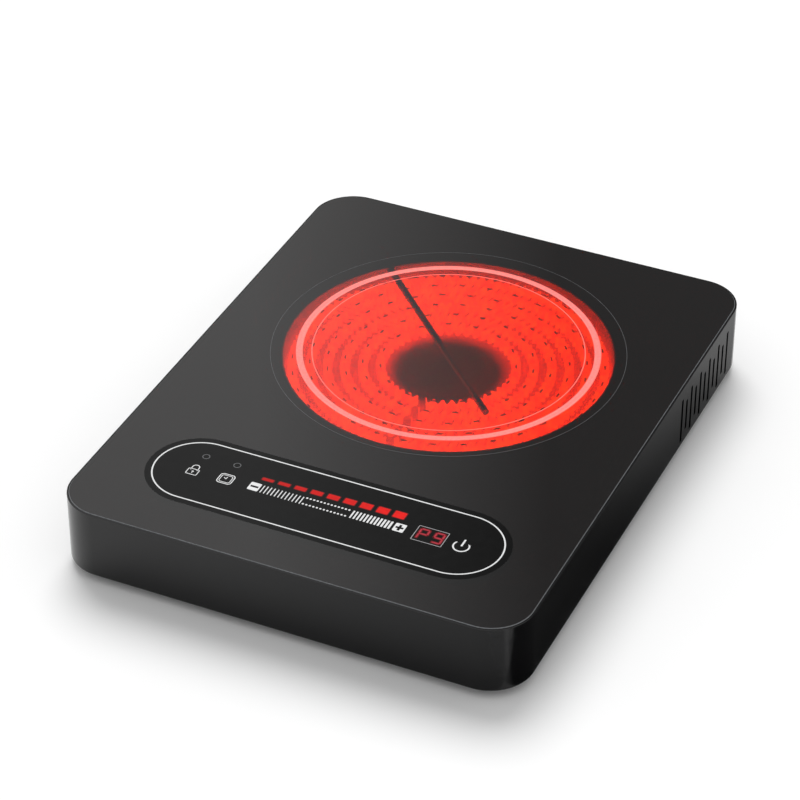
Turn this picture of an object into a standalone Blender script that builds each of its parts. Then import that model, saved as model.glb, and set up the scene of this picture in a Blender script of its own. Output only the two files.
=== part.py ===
"""Portable glass-ceramic cooktop: a radiant heater, a touch panel and a fan in a shallow plastic case.

The origin is on the surface that the feet stand on, under the middle of the case. +X is the user's right,
+Y points to the rear and +Z up. Sizes are in metres.
"""
import math

import bmesh
import bpy
from mathutils import Matrix, Vector

# ---- Case -----------------------------------------------------------------------------------------------
BODY_WIDTH = 0.280
BODY_DEPTH = 0.362
BODY_HEIGHT = 0.0432          # bottom edge of the case to the top of the glass
CORNER_RADIUS = 0.0258
CORNER_SEGMENTS = 8
WALL = 0.0022
RIM_LIP = 0.0008              # thin lip of the case around the glass
RIM_DROP = 0.0004             # how far the lip stays below the glass
LEDGE_WIDTH = 0.012
LEDGE_THICKNESS = 0.002
TOUCH_GAP = 0.0003            # left between pieces that rest on each other

GLASS_THICKNESS = 0.004
GLASS_CHAMFER = 0.0005
SEAL_THICKNESS = 0.0008
SEAL_WIDTH = 0.008

BASE_THICKNESS = 0.002
FOOT_HEIGHT = 0.005
FOOT_RADIUS = 0.009
FOOT_STEM_RADIUS = 0.0024
FOOT_BARB = 0.001             # the barb's overhang above the base
FOOT_INSET = 0.028            # foot axis from the case's sides

BOSS_RADIUS = 0.0045
BOSS_INSET = 0.014            # screw axis from the case's sides
SCREW_RADIUS = 0.0014
SCREW_HEAD_RADIUS = 0.0032
SCREW_HEAD_HEIGHT = 0.0016
SCREW_LENGTH = 0.014

VENT_COUNT = 11
VENT_PITCH = 0.0077
VENT_WIDTH = 0.0030
VENT_LONG = 0.0303
VENT_SHORT = 0.0206
VENT_FROM_REAR = 0.0360       # rearmost slot from the case's rear
VENT_BELOW_GLASS = 0.0238     # middle of the slots below the glass's top

# ---- Heater ---------------------------------------------------------------------------------------------
HEATER_FROM_REAR = 0.1345
DISH_WALL = 0.0008
DISH_HOLE_RADIUS = 0.006
HEATER_DEPTH = 0.027
ACTIVE_RADIUS = 0.098         # the glowing zone
RING_WIDTH = 0.0099           # insulating ring around it
INSULATION_THICKNESS = 0.012
HEATER_SEGMENTS = 56

RIBBON_COUNT = 6
RIBBON_EDGE = 0.0055          # outermost band from the insulating ring
RIBBON_PITCH = 0.0105
RIBBON_HEIGHT = 0.0065
RIBBON_THICKNESS = 0.0008
RIBBON_GAP_ANGLE = math.radians(12)
RIBBON_SEGMENTS = 44

LIMITER_ANGLE = math.radians(135)
LIMITER_ROD_RADIUS = 0.0020
LIMITER_ROD_REACH = 0.060     # past the heater's centre
LIMITER_HEAD = (0.016, 0.020, 0.013)

TERMINAL_BODY = (0.026, 0.008, 0.010)
TERMINAL_TAB = (0.0063, 0.009, 0.0012)
TERMINAL_TAB_SPACING = 0.013

CABLE_FROM_TAB = 0.012        # control cable beside the heater's leads

SPRING_COUNT = 3
SPRING_CIRCLE = 0.080
SPRING_WIDTH = 0.014
SPRING_THICKNESS = 0.0008
SPRING_HALF_LENGTH = 0.022

# ---- Fan ------------------------------------------------------------------------------------------------
FAN_SIZE = 0.060
FAN_THICKNESS = 0.015
FAN_POST_GAP = 0.003          # from the panel's left post to the fan
FAN_FOOT_GAP = 0.0034         # from the front feet's barbs to the fan
FAN_WALL = 0.002              # duct wall at its thinnest
FAN_SEAT_RADIUS = 0.012
FAN_SEAT_THICKNESS = 0.002
FAN_STRUT_WIDTH = 0.003
FAN_STRUTS = 4
FAN_BLADES = 7
BLADE_THICKNESS = 0.0012
BLADE_CHORD = 0.0125
BLADE_PITCH = math.radians(40)
BLADE_TIP_GAP = 0.0012
ROTOR_CUP_WALL = 0.0012
ROTOR_LIFT = 0.0015           # rotor above the frame's lower face
SHAFT_RADIUS = 0.00145
BEARING_BORE_RADIUS = 0.0016
BEARING_RADIUS = 0.0026
BEARING_TUBE_WALL = 0.0010
STATOR_RADIUS = 0.0093
FAN_SEGMENTS = 40

# ---- Boards and controls --------------------------------------------------------------------------------
PANEL_FROM_FRONT = 0.0608     # middle of the touch panel from the case's front
BOARD_THICKNESS = 0.0016
CONTROL_BOARD = (0.200, 0.044)
TRAY_WALL = 0.0015
TRAY_FLOOR = 0.002
TRAY_TAB_WIDTH = 0.012
TRAY_TAB_REACH = 0.006        # tab beyond its post
SENSOR_HEIGHT = 0.0078        # from the control board to the glass
POST_RADIUS = 0.004
SIDE_POST_INSET = 0.013
INNER_POST_OFFSET = 0.017     # inner posts in front of and behind the panel's middle

POWER_BOARD_DEPTH = 0.082
POWER_BOARD_STANDOFF = 0.004
POWER_BOARD_GAP = 0.026       # from the fan to the board
POWER_BOARD_END = 0.007       # from the board to the panel's right post
STANDOFF_RADIUS = 0.0035
STANDOFF_INSET = (0.020, 0.006)

COIL_RADIUS = 0.0036
COIL_WIRE = 0.0004
COIL_TURNS = 4
COIL_POINTS = 9
TOUCH_KEYS = {"lock": -0.0818, "timer": -0.0615, "minus": -0.0440, "plus": 0.0448, "power": 0.0820}
SLIDER = (0.074, 0.006)
LAMPS = {"lock": -0.0811, "timer": -0.0615}
LAMP_OFFSET = 0.0133          # indicator lamps behind the panel's middle
LAMP_RADIUS = 0.0022
BAR_COUNT = 9
BAR_PITCH = 0.010
BAR_WIDTH = 0.0075
BAR_MIDDLE = 0.0005
BAR_BLOCK_DEPTH = 0.0082
BAR_BLOCK_OFFSET = 0.0107     # light box behind the panel's middle
BAR_BLOCK_WALL = 0.0009
DISPLAY = (0.0185, 0.0134)
DISPLAY_X = 0.06305
DISPLAY_WALL = 0.001

# ---- Wiring ---------------------------------------------------------------------------------------------
GLAND_FROM_SIDE = 0.062
GLAND_HEIGHT = 0.020          # gland axis above the table
GLAND_RADIUS = 0.0070
GLAND_BORE_RADIUS = 0.0039
GLAND_FLANGE_RADIUS = 0.0095
GLAND_FLANGE = 0.0025
GLAND_LENGTH = 0.014
TERMINAL_BLOCK = (0.032, 0.016, 0.013)
TERMINAL_BLOCK_FROM_REAR = 0.032
TERMINAL_WAYS = 3
WIRE_RADIUS = 0.0012
HEATER_LEAD_ON_BOARD = 0.0146 # how far the heater's leads reach in over the power board

# ---- Places that follow from the sizes ------------------------------------------------------------------
GLASS_TOP = FOOT_HEIGHT + BODY_HEIGHT
GLASS_BOTTOM = GLASS_TOP - GLASS_THICKNESS
RIM_TOP = GLASS_TOP - RIM_DROP
LEDGE_TOP = GLASS_BOTTOM - SEAL_THICKNESS - 2 * TOUCH_GAP
LEDGE_BOTTOM = LEDGE_TOP - LEDGE_THICKNESS
BASE_TOP = FOOT_HEIGHT + BASE_THICKNESS
BASE_MIDDLE = FOOT_HEIGHT + BASE_THICKNESS / 2
PAST = 0.002                  # how far a cutter runs past the face that it opens

HEATER_Y = BODY_DEPTH / 2 - HEATER_FROM_REAR
HEATER_TOP = GLASS_BOTTOM - TOUCH_GAP
DISH_BOTTOM = HEATER_TOP - HEATER_DEPTH
INSULATION_RADIUS = ACTIVE_RADIUS + RING_WIDTH
DISH_RADIUS = INSULATION_RADIUS + TOUCH_GAP + DISH_WALL
RIBBON_OUTER_RADIUS = ACTIVE_RADIUS - RIBBON_EDGE
INSULATION_BOTTOM = DISH_BOTTOM + DISH_WALL + TOUCH_GAP
INSULATION_TOP = INSULATION_BOTTOM + INSULATION_THICKNESS
ROD_Z = HEATER_TOP - LIMITER_ROD_RADIUS - 2 * TOUCH_GAP

PANEL_Y = PANEL_FROM_FRONT - BODY_DEPTH / 2
SIDE_POST_X = BODY_WIDTH / 2 - SIDE_POST_INSET
FAN_X = POST_RADIUS + FAN_POST_GAP + FAN_SIZE / 2 - SIDE_POST_X
FAN_Y = FOOT_INSET + FOOT_STEM_RADIUS + FOOT_BARB + FAN_FOOT_GAP + FAN_SIZE / 2 - BODY_DEPTH / 2
FAN_BOTTOM = BASE_TOP + TOUCH_GAP
FAN_TOP = FAN_BOTTOM + FAN_THICKNESS
DUCT_RADIUS = FAN_SIZE / 2 - FAN_WALL
ROTOR_BOTTOM = FAN_BOTTOM + ROTOR_LIFT
ROTOR_TOP = FAN_TOP - FAN_SEAT_THICKNESS - 2 * TOUCH_GAP
BEARING_TUBE_RADIUS = BEARING_RADIUS + TOUCH_GAP

CONTROL_TOP = GLASS_BOTTOM - SENSOR_HEIGHT
CONTROL_BOTTOM = CONTROL_TOP - BOARD_THICKNESS
TRAY_TOP_FLOOR = CONTROL_BOTTOM - TOUCH_GAP
TRAY_BOTTOM = TRAY_TOP_FLOOR - TRAY_FLOOR
SENSOR_BOTTOM = CONTROL_TOP + TOUCH_GAP
SENSOR_TOP = GLASS_BOTTOM - TOUCH_GAP
INNER_POST_X = FAN_X + FAN_SIZE / 2 + POWER_BOARD_GAP / 2

POWER_LEFT = FAN_X + FAN_SIZE / 2 + POWER_BOARD_GAP
POWER_RIGHT = SIDE_POST_X - POST_RADIUS - POWER_BOARD_END
POWER_BOARD = (POWER_RIGHT - POWER_LEFT, POWER_BOARD_DEPTH)
POWER_X = (POWER_LEFT + POWER_RIGHT) / 2
POWER_Y = PANEL_Y
POWER_BOTTOM = BASE_TOP + POWER_BOARD_STANDOFF + TOUCH_GAP
POWER_TOP = POWER_BOTTOM + BOARD_THICKNESS
PARTS_BOTTOM = POWER_TOP + TOUCH_GAP

GLAND_X = BODY_WIDTH / 2 - GLAND_FROM_SIDE
BLOCK_Y = BODY_DEPTH / 2 - TERMINAL_BLOCK_FROM_REAR

# ---- Finishes: colour, roughness, metallic --------------------------------------------------------------
FINISHES = {
    "case": ((0.012, 0.012, 0.013), 0.25, 0.0),
    "glass": ((0.008, 0.008, 0.009), 0.06, 0.0),
    "silicone": ((0.03, 0.03, 0.03), 0.6, 0.0),
    "rubber": ((0.02, 0.02, 0.02), 0.8, 0.0),
    "steel": ((0.55, 0.55, 0.56), 0.35, 1.0),
    "insulation": ((0.72, 0.70, 0.66), 0.95, 0.0),
    "ribbon": ((1.0, 0.16, 0.04), 0.5, 0.0),
    "quartz": ((0.78, 0.75, 0.72), 0.2, 0.0),
    "ceramic": ((0.85, 0.83, 0.78), 0.4, 0.0),
    "board": ((0.02, 0.16, 0.07), 0.45, 0.0),
    "aluminium": ((0.80, 0.80, 0.82), 0.4, 1.0),
    "black_moulding": ((0.02, 0.02, 0.022), 0.45, 0.0),
    "white_moulding": ((0.78, 0.78, 0.76), 0.45, 0.0),
    "blue_moulding": ((0.05, 0.12, 0.45), 0.4, 0.0),
    "yellow_moulding": ((0.75, 0.52, 0.05), 0.4, 0.0),
    "copper": ((0.72, 0.34, 0.16), 0.35, 1.0),
    "bronze": ((0.60, 0.42, 0.20), 0.4, 1.0),
    "red_lens": ((0.60, 0.02, 0.02), 0.3, 0.0),
    "brown_wire": ((0.20, 0.07, 0.03), 0.6, 0.0),
    "blue_wire": ((0.04, 0.12, 0.40), 0.6, 0.0),
    "white_wire": ((0.75, 0.75, 0.72), 0.6, 0.0),
    "grey_cable": ((0.45, 0.45, 0.46), 0.6, 0.0),
}


def clear_scene():
    for thing in list(bpy.data.objects):
        bpy.data.objects.remove(thing)


def new_collection(name):
    collection = bpy.data.collections.new(name)
    bpy.context.scene.collection.children.link(collection)
    return collection


clear_scene()
PARTS = new_collection("glass_cooktop")
CUTTERS = new_collection("cutters")


# ---- Making objects -------------------------------------------------------------------------------------
def finish_object(thing, finish):
    """Give the object a material of its own in one of the finishes."""
    colour, roughness, metallic = FINISHES[finish]
    material = bpy.data.materials.new(thing.name + "_" + finish)
    material.use_nodes = True
    shader = material.node_tree.nodes["Principled BSDF"]
    shader.inputs["Base Color"].default_value = (*colour, 1.0)
    shader.inputs["Roughness"].default_value = roughness
    shader.inputs["Metallic"].default_value = metallic
    thing.data.materials.clear()
    thing.data.materials.append(material)


def object_from(bm, name, collection, at=(0, 0, 0)):
    mesh = bpy.data.meshes.new(name)
    bm.to_mesh(mesh)
    bm.free()
    thing = bpy.data.objects.new(name, mesh)
    thing.location = at
    collection.objects.link(thing)
    return thing


def part(bm, name, finish, at=(0, 0, 0), smooth=False):
    """A piece of the cooktop; round pieces are shaded smooth with their edges kept sharp."""
    thing = object_from(bm, name, PARTS, at)
    if smooth:
        thing.data.shade_smooth()
        thing.data.set_sharp_from_angle(angle=math.radians(35))
    finish_object(thing, finish)
    return thing


def combine(thing, bm, name, operation):
    """Cut the piece with, or join it to, a helper solid."""
    helper = object_from(bm, name, CUTTERS)
    helper.hide_render = True
    helper.display_type = "WIRE"
    modifier = thing.modifiers.new(name, "BOOLEAN")
    modifier.operation = operation
    modifier.solver = "EXACT"
    modifier.object = helper


def add_box(bm, size, centre, turn=None):
    """A box of the given size about its centre, turned by a matrix first."""
    matrix = Matrix.Translation(centre)
    if turn is not None:
        matrix = matrix @ turn
    bmesh.ops.create_cube(bm, size=1.0, matrix=matrix @ Matrix.Diagonal((*size, 1.0)))


def add_cylinder(bm, radius, low, high, x=0.0, y=0.0, segments=20):
    middle = Matrix.Translation((x, y, (low + high) / 2))
    bmesh.ops.create_cone(
        bm, cap_ends=True, segments=segments, radius1=radius, radius2=radius, depth=high - low, matrix=middle
    )


def rounded_slab(width, depth, radius, low, high):
    """A slab with round vertical edges, centred on the Z axis."""
    bm = bmesh.new()
    add_box(bm, (width, depth, high - low), (0, 0, (low + high) / 2))
    upright = [e for e in bm.edges if abs(e.verts[0].co.z - e.verts[1].co.z) > (high - low) / 2]
    bmesh.ops.bevel(bm, geom=upright, offset=radius, segments=CORNER_SEGMENTS, affect="EDGES", profile=0.5)
    return bm


def inset_slab(inset, low, high):
    """The case's outline moved in all round."""
    return rounded_slab(BODY_WIDTH - 2 * inset, BODY_DEPTH - 2 * inset, CORNER_RADIUS - inset, low, high)


def turned(name, profile, finish, at, segments=HEATER_SEGMENTS, closed=False):
    """A profile of (radius, height) points, down its outer side, turned about Z."""
    bm = bmesh.new()
    verts = [bm.verts.new((radius, 0, height)) for radius, height in profile]
    for first, second in zip(verts, verts[1:]):
        bm.edges.new((first, second))
    if closed:
        bm.edges.new((verts[-1], verts[0]))
    thing = part(bm, name, finish, at)
    screw = thing.modifiers.new("turn", "SCREW")
    screw.axis = "Z"
    screw.angle = math.tau
    screw.steps = segments
    screw.render_steps = segments
    screw.use_merge_vertices = True
    screw.merge_threshold = 0.00001
    screw.use_smooth_shade = True
    return thing


def turned_ring(name, inner, outer, low, high, finish, at, segments=HEATER_SEGMENTS):
    profile = [(inner, high), (outer, high), (outer, low), (inner, low)]
    return turned(name, profile, finish, at, segments, closed=True)


def sheet_strip(name, path, width_vector, thickness, finish, at=(0, 0, 0), turn=0.0):
    """A strip swept from a path along one direction, thickened about its middle."""
    bm = bmesh.new()
    step = Vector(width_vector)
    near = [bm.verts.new(Vector(point) - step / 2) for point in path]
    far = [bm.verts.new(Vector(point) + step / 2) for point in path]
    for k in range(len(path) - 1):
        bm.faces.new((near[k], near[k + 1], far[k + 1], far[k]))
    thing = part(bm, name, finish, at)
    thing.rotation_euler.z = turn
    solid = thing.modifiers.new("thickness", "SOLIDIFY")
    solid.thickness = thickness
    solid.offset = 0.0
    solid.use_even_offset = True
    return thing


def smooth_path(points, steps):
    """Points on a smooth curve through the given ones."""
    route = [Vector(p) for p in points]
    route = [2 * route[0] - route[1]] + route + [2 * route[-1] - route[-2]]
    path = []
    for a, b, c, d in zip(route, route[1:], route[2:], route[3:]):
        for k in range(steps):
            t = k / steps
            path.append(((2 * b) + (c - a) * t + (2 * a - 5 * b + 4 * c - d) * t * t
                         + (3 * b - a - 3 * c + d) * t ** 3) / 2)
    path.append(route[-2])
    return path


def wire(name, points, radius, finish, sides=2):
    """A round wire along the points, with closed ends."""
    curve = bpy.data.curves.new(name, "CURVE")
    curve.dimensions = "3D"
    curve.bevel_depth = radius
    curve.bevel_resolution = sides
    curve.use_fill_caps = True
    spline = curve.splines.new("POLY")
    spline.points.add(len(points) - 1)
    for slot, point in zip(spline.points, points):
        slot.co = (*point, 1.0)
    thing = bpy.data.objects.new(name, curve)
    PARTS.objects.link(thing)
    finish_object(thing, finish)
    return thing


# ---- Case -----------------------------------------------------------------------------------------------
def corner_places(inset):
    x = BODY_WIDTH / 2 - inset
    y = BODY_DEPTH / 2 - inset
    return [(-x, -y), (x, -y), (-x, y), (x, y)]


def vent_slots():
    """Cooling slots through both side walls, long and short by turns."""
    bm = bmesh.new()
    middle = GLASS_TOP - VENT_BELOW_GLASS
    for side in (-1, 1):
        for k in range(VENT_COUNT):
            height = VENT_LONG if k % 2 == 0 else VENT_SHORT
            y = BODY_DEPTH / 2 - VENT_FROM_REAR - k * VENT_PITCH
            wall_middle = side * (BODY_WIDTH / 2 - WALL / 2)
            add_box(bm, (WALL + 2 * PAST, VENT_WIDTH, height), (wall_middle, y, middle))
    return bm


def make_housing():
    """The case: four walls, the ledge that carries the glass, and the screw bosses."""
    housing = part(inset_slab(0, FOOT_HEIGHT, RIM_TOP), "housing", "case")
    combine(housing, inset_slab(RIM_LIP, LEDGE_TOP, RIM_TOP + PAST), "glass_pocket", "DIFFERENCE")
    window = inset_slab(WALL + LEDGE_WIDTH, LEDGE_BOTTOM - PAST, LEDGE_TOP + PAST)
    combine(housing, window, "ledge_window", "DIFFERENCE")
    combine(housing, inset_slab(WALL, FOOT_HEIGHT - PAST, LEDGE_BOTTOM), "case_hollow", "DIFFERENCE")
    bosses = bmesh.new()
    holes = bmesh.new()
    for x, y in corner_places(BOSS_INSET):
        add_cylinder(bosses, BOSS_RADIUS, BASE_TOP + TOUCH_GAP, LEDGE_BOTTOM + LEDGE_THICKNESS / 2, x, y)
        top = BASE_TOP + SCREW_LENGTH
        add_cylinder(holes, SCREW_RADIUS + TOUCH_GAP, FOOT_HEIGHT, top, x, y, segments=12)
    combine(housing, bosses, "screw_bosses", "UNION")
    combine(housing, holes, "screw_holes", "DIFFERENCE")
    combine(housing, vent_slots(), "vent_slots", "DIFFERENCE")
    gland_hole = bmesh.new()
    add_cylinder(gland_hole, GLAND_RADIUS + TOUCH_GAP, -WALL / 2 - PAST, WALL / 2 + PAST, segments=24)
    place = Matrix.Translation((GLAND_X, BODY_DEPTH / 2 - WALL / 2, GLAND_HEIGHT))
    place = place @ Matrix.Rotation(math.pi / 2, 4, "X")
    bmesh.ops.transform(gland_hole, matrix=place, verts=gland_hole.verts)
    combine(housing, gland_hole, "gland_hole", "DIFFERENCE")


def make_glass():
    """Black glass-ceramic plate with a fine ground edge, and the silicone bead under it."""
    inset = RIM_LIP + TOUCH_GAP
    glass = part(inset_slab(inset, GLASS_BOTTOM, GLASS_TOP), "glass_top", "glass")
    edge = glass.modifiers.new("ground_edge", "BEVEL")
    edge.width = GLASS_CHAMFER
    edge.segments = 1
    edge.limit_method = "ANGLE"
    edge.angle_limit = math.radians(60)
    seal_inset = WALL + TOUCH_GAP
    bead = inset_slab(seal_inset, LEDGE_TOP + TOUCH_GAP, GLASS_BOTTOM - TOUCH_GAP)
    seal = part(bead, "glass_seal", "silicone")
    opening = inset_slab(seal_inset + SEAL_WIDTH, LEDGE_TOP - PAST, GLASS_BOTTOM + PAST)
    combine(seal, opening, "seal_opening", "DIFFERENCE")


def intake_slots(bm):
    """Straight slots under the fan, each as long as the duct is wide there."""
    pitch = 0.0055
    width = 0.0028
    count = 9
    for k in range(count):
        offset = (k - (count - 1) / 2) * pitch
        reach = math.sqrt(max((DUCT_RADIUS - 0.003) ** 2 - offset ** 2, 0.0))
        add_box(bm, (width, 2 * reach, BASE_THICKNESS + 2 * PAST), (FAN_X + offset, FAN_Y, BASE_MIDDLE))


def rear_slots(bm):
    """Rows of slots under the rear of the heater."""
    count = 11
    pitch = 0.007
    size = (0.0028, 0.024, BASE_THICKNESS + 2 * PAST)
    for k in range(count):
        x = (k - (count - 1) / 2) * pitch
        y = HEATER_Y + DISH_RADIUS * 0.72
        add_box(bm, size, (x, y, BASE_MIDDLE))


def panel_posts():
    ends = [(-SIDE_POST_X, PANEL_Y), (SIDE_POST_X, PANEL_Y)]
    return ends + [(INNER_POST_X, PANEL_Y + side * INNER_POST_OFFSET) for side in (-1, 1)]


def board_standoffs():
    x = POWER_BOARD[0] / 2 - STANDOFF_INSET[0]
    y = POWER_BOARD[1] / 2 - STANDOFF_INSET[1]
    return [(POWER_X + i * x, POWER_Y + j * y) for i in (-1, 1) for j in (-1, 1)]


def make_base():
    """The bottom cover, with its grilles, screw holes, foot holes and posts."""
    base = part(inset_slab(WALL + TOUCH_GAP, FOOT_HEIGHT, BASE_TOP), "base_cover", "black_moulding")
    posts = bmesh.new()
    for x, y in panel_posts():
        add_cylinder(posts, POST_RADIUS, BASE_MIDDLE, TRAY_BOTTOM - TOUCH_GAP, x, y, 16)
    for x, y in board_standoffs():
        add_cylinder(posts, STANDOFF_RADIUS, BASE_MIDDLE, BASE_TOP + POWER_BOARD_STANDOFF, x, y, 12)
    combine(base, posts, "base_posts", "UNION")
    slots = bmesh.new()
    intake_slots(slots)
    rear_slots(slots)
    for x, y in corner_places(BOSS_INSET):
        add_cylinder(slots, SCREW_RADIUS + TOUCH_GAP, FOOT_HEIGHT - PAST, BASE_TOP + PAST, x, y, 12)
    for x, y in corner_places(FOOT_INSET):
        add_cylinder(slots, FOOT_STEM_RADIUS + TOUCH_GAP, FOOT_HEIGHT - PAST, BASE_TOP + PAST, x, y, 16)
    combine(base, slots, "base_openings", "DIFFERENCE")


def make_feet():
    """Four rubber feet, each pushed through the base and held by a barb."""
    top = FOOT_HEIGHT - TOUCH_GAP
    barb_bottom = BASE_TOP + TOUCH_GAP
    barb_top = barb_bottom + 0.0018
    profile = [
        (0, barb_top), (FOOT_STEM_RADIUS * 0.6, barb_top), (FOOT_STEM_RADIUS + FOOT_BARB, barb_bottom),
        (FOOT_STEM_RADIUS, barb_bottom), (FOOT_STEM_RADIUS, top), (FOOT_RADIUS * 0.93, top),
        (FOOT_RADIUS, top * 0.72), (FOOT_RADIUS * 0.97, 0.0008), (FOOT_RADIUS * 0.88, 0), (0, 0),
    ]
    names = ("foot_front_left", "foot_front_right", "foot_rear_left", "foot_rear_right")
    for name, (x, y) in zip(names, corner_places(FOOT_INSET)):
        turned(name, profile, "rubber", (x, y, 0), segments=24)


def make_base_screws():
    under = FOOT_HEIGHT - TOUCH_GAP
    tip = under + BASE_THICKNESS + SCREW_LENGTH - 0.002
    profile = [
        (0, tip), (SCREW_RADIUS * 0.5, tip), (SCREW_RADIUS, tip - 0.001), (SCREW_RADIUS, under),
        (SCREW_HEAD_RADIUS, under), (SCREW_HEAD_RADIUS, under - SCREW_HEAD_HEIGHT / 2),
        (SCREW_HEAD_RADIUS * 0.6, under - SCREW_HEAD_HEIGHT), (0, under - SCREW_HEAD_HEIGHT),
    ]
    for k, (x, y) in enumerate(corner_places(BOSS_INSET)):
        turned(f"base_screw_{k + 1}", profile, "steel", (x, y, 0), segments=12)


# ---- Heater ---------------------------------------------------------------------------------------------
def around_heater(radius, angle, z=0.0):
    return Vector((radius * math.cos(angle), HEATER_Y + radius * math.sin(angle), z))


def rod_notch():
    """The notch through the insulating ring that lets the limiter's rod in."""
    bm = bmesh.new()
    width = 2 * (LIMITER_ROD_RADIUS + TOUCH_GAP)
    low = ROD_Z - LIMITER_ROD_RADIUS - TOUCH_GAP
    high = HEATER_TOP + PAST
    inner = ACTIVE_RADIUS - 0.006
    outer = DISH_RADIUS + 0.004
    centre = around_heater((inner + outer) / 2, LIMITER_ANGLE, (low + high) / 2)
    add_box(bm, (outer - inner, width, high - low), centre, Matrix.Rotation(LIMITER_ANGLE, 4, "Z"))
    return bm


def make_heater_pan():
    """Pressed steel dish with a locating hole, its rim below the limiter's rod, and the insulation in it."""
    rim = ROD_Z - LIMITER_ROD_RADIUS - 2 * TOUCH_GAP
    inner = DISH_RADIUS - DISH_WALL
    floor = DISH_BOTTOM + DISH_WALL
    profile = [
        (DISH_HOLE_RADIUS, floor), (inner, floor), (inner, rim), (DISH_RADIUS, rim),
        (DISH_RADIUS, DISH_BOTTOM + 0.003), (DISH_RADIUS - 0.003, DISH_BOTTOM),
        (DISH_HOLE_RADIUS, DISH_BOTTOM),
    ]
    at = (0, HEATER_Y, 0)
    turned("heater_dish", profile, "steel", at, closed=True)
    bed = [
        (0, INSULATION_TOP), (INSULATION_RADIUS, INSULATION_TOP),
        (INSULATION_RADIUS, INSULATION_BOTTOM + 0.003), (INSULATION_RADIUS - 0.003, INSULATION_BOTTOM),
        (0, INSULATION_BOTTOM),
    ]
    turned("insulation_bed", bed, "insulation", at)
    ring = turned_ring("insulation_ring", ACTIVE_RADIUS, INSULATION_RADIUS, INSULATION_TOP + TOUCH_GAP,
                       HEATER_TOP, "insulation", at)
    combine(ring, rod_notch(), "ring_notch", "DIFFERENCE")


def make_ribbons():
    """Bands of resistance strip standing on edge in rings, each open at the terminal side."""
    middle = INSULATION_TOP + TOUCH_GAP + RIBBON_HEIGHT / 2
    start = -math.pi / 2 + RIBBON_GAP_ANGLE / 2
    sweep = math.tau - RIBBON_GAP_ANGLE
    for ring in range(RIBBON_COUNT):
        radius = RIBBON_OUTER_RADIUS - ring * RIBBON_PITCH
        segments = max(20, round(RIBBON_SEGMENTS * radius / RIBBON_OUTER_RADIUS))
        path = [around_heater(radius, start + sweep * k / segments, middle) for k in range(segments + 1)]
        sheet_strip(f"heating_ribbon_{ring + 1}", path, (0, 0, RIBBON_HEIGHT), RIBBON_THICKNESS, "ribbon")


def make_limiter():
    """Rod-type temperature limiter: a quartz tube over the ribbons and its switch head beside the dish."""
    length = DISH_RADIUS + LIMITER_ROD_REACH
    bm = bmesh.new()
    add_cylinder(bm, LIMITER_ROD_RADIUS, -length / 2, length / 2, segments=16)
    place = around_heater(DISH_RADIUS - length / 2, LIMITER_ANGLE, ROD_Z)
    rod = part(bm, "limiter_rod", "quartz", place, smooth=True)
    rod.rotation_euler = (0, math.pi / 2, LIMITER_ANGLE)
    bm = bmesh.new()
    add_box(bm, LIMITER_HEAD, (0, 0, 0))
    middle = DISH_RADIUS + TOUCH_GAP + LIMITER_HEAD[0] / 2
    height = HEATER_TOP - TOUCH_GAP - LIMITER_HEAD[2] / 2
    head = part(bm, "limiter_head", "ceramic", around_heater(middle, LIMITER_ANGLE, height))
    head.rotation_euler.z = LIMITER_ANGLE
    edge = head.modifiers.new("edges", "BEVEL")
    edge.width = 0.001
    edge.segments = 1


def make_heater_terminal():
    """Ceramic block on the dish's front with two flat tabs for the heater's leads."""
    y = HEATER_Y - DISH_RADIUS - TOUCH_GAP - TERMINAL_BODY[1] / 2
    z = DISH_BOTTOM + HEATER_DEPTH / 3
    bm = bmesh.new()
    add_box(bm, TERMINAL_BODY, (0, y, z))
    block = part(bm, "heater_terminal", "ceramic")
    tabs = bmesh.new()
    for side in (-1, 1):
        add_box(tabs, TERMINAL_TAB, (side * TERMINAL_TAB_SPACING / 2, y - TERMINAL_BODY[1] / 2 - 0.0035, z))
    combine(block, tabs, "terminal_tabs", "UNION")


def make_heater_springs():
    """Arched leaf springs on the base that press the heater up against the glass."""
    low = BASE_TOP + TOUCH_GAP + SPRING_THICKNESS / 2
    high = DISH_BOTTOM - TOUCH_GAP - SPRING_THICKNESS / 2
    rise = [(1.0, low), (0.55, low), (0.2, high), (-0.2, high), (-0.55, low), (-1.0, low)]
    path = [(SPRING_HALF_LENGTH * share, 0, height) for share, height in rise]
    for k in range(SPRING_COUNT):
        angle = -math.pi / 2 + math.tau * k / SPRING_COUNT
        place = around_heater(SPRING_CIRCLE, angle)
        sheet_strip(f"heater_spring_{k + 1}", path, (0, SPRING_WIDTH, 0), SPRING_THICKNESS, "steel", place,
                    angle + math.pi / 2)


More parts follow.
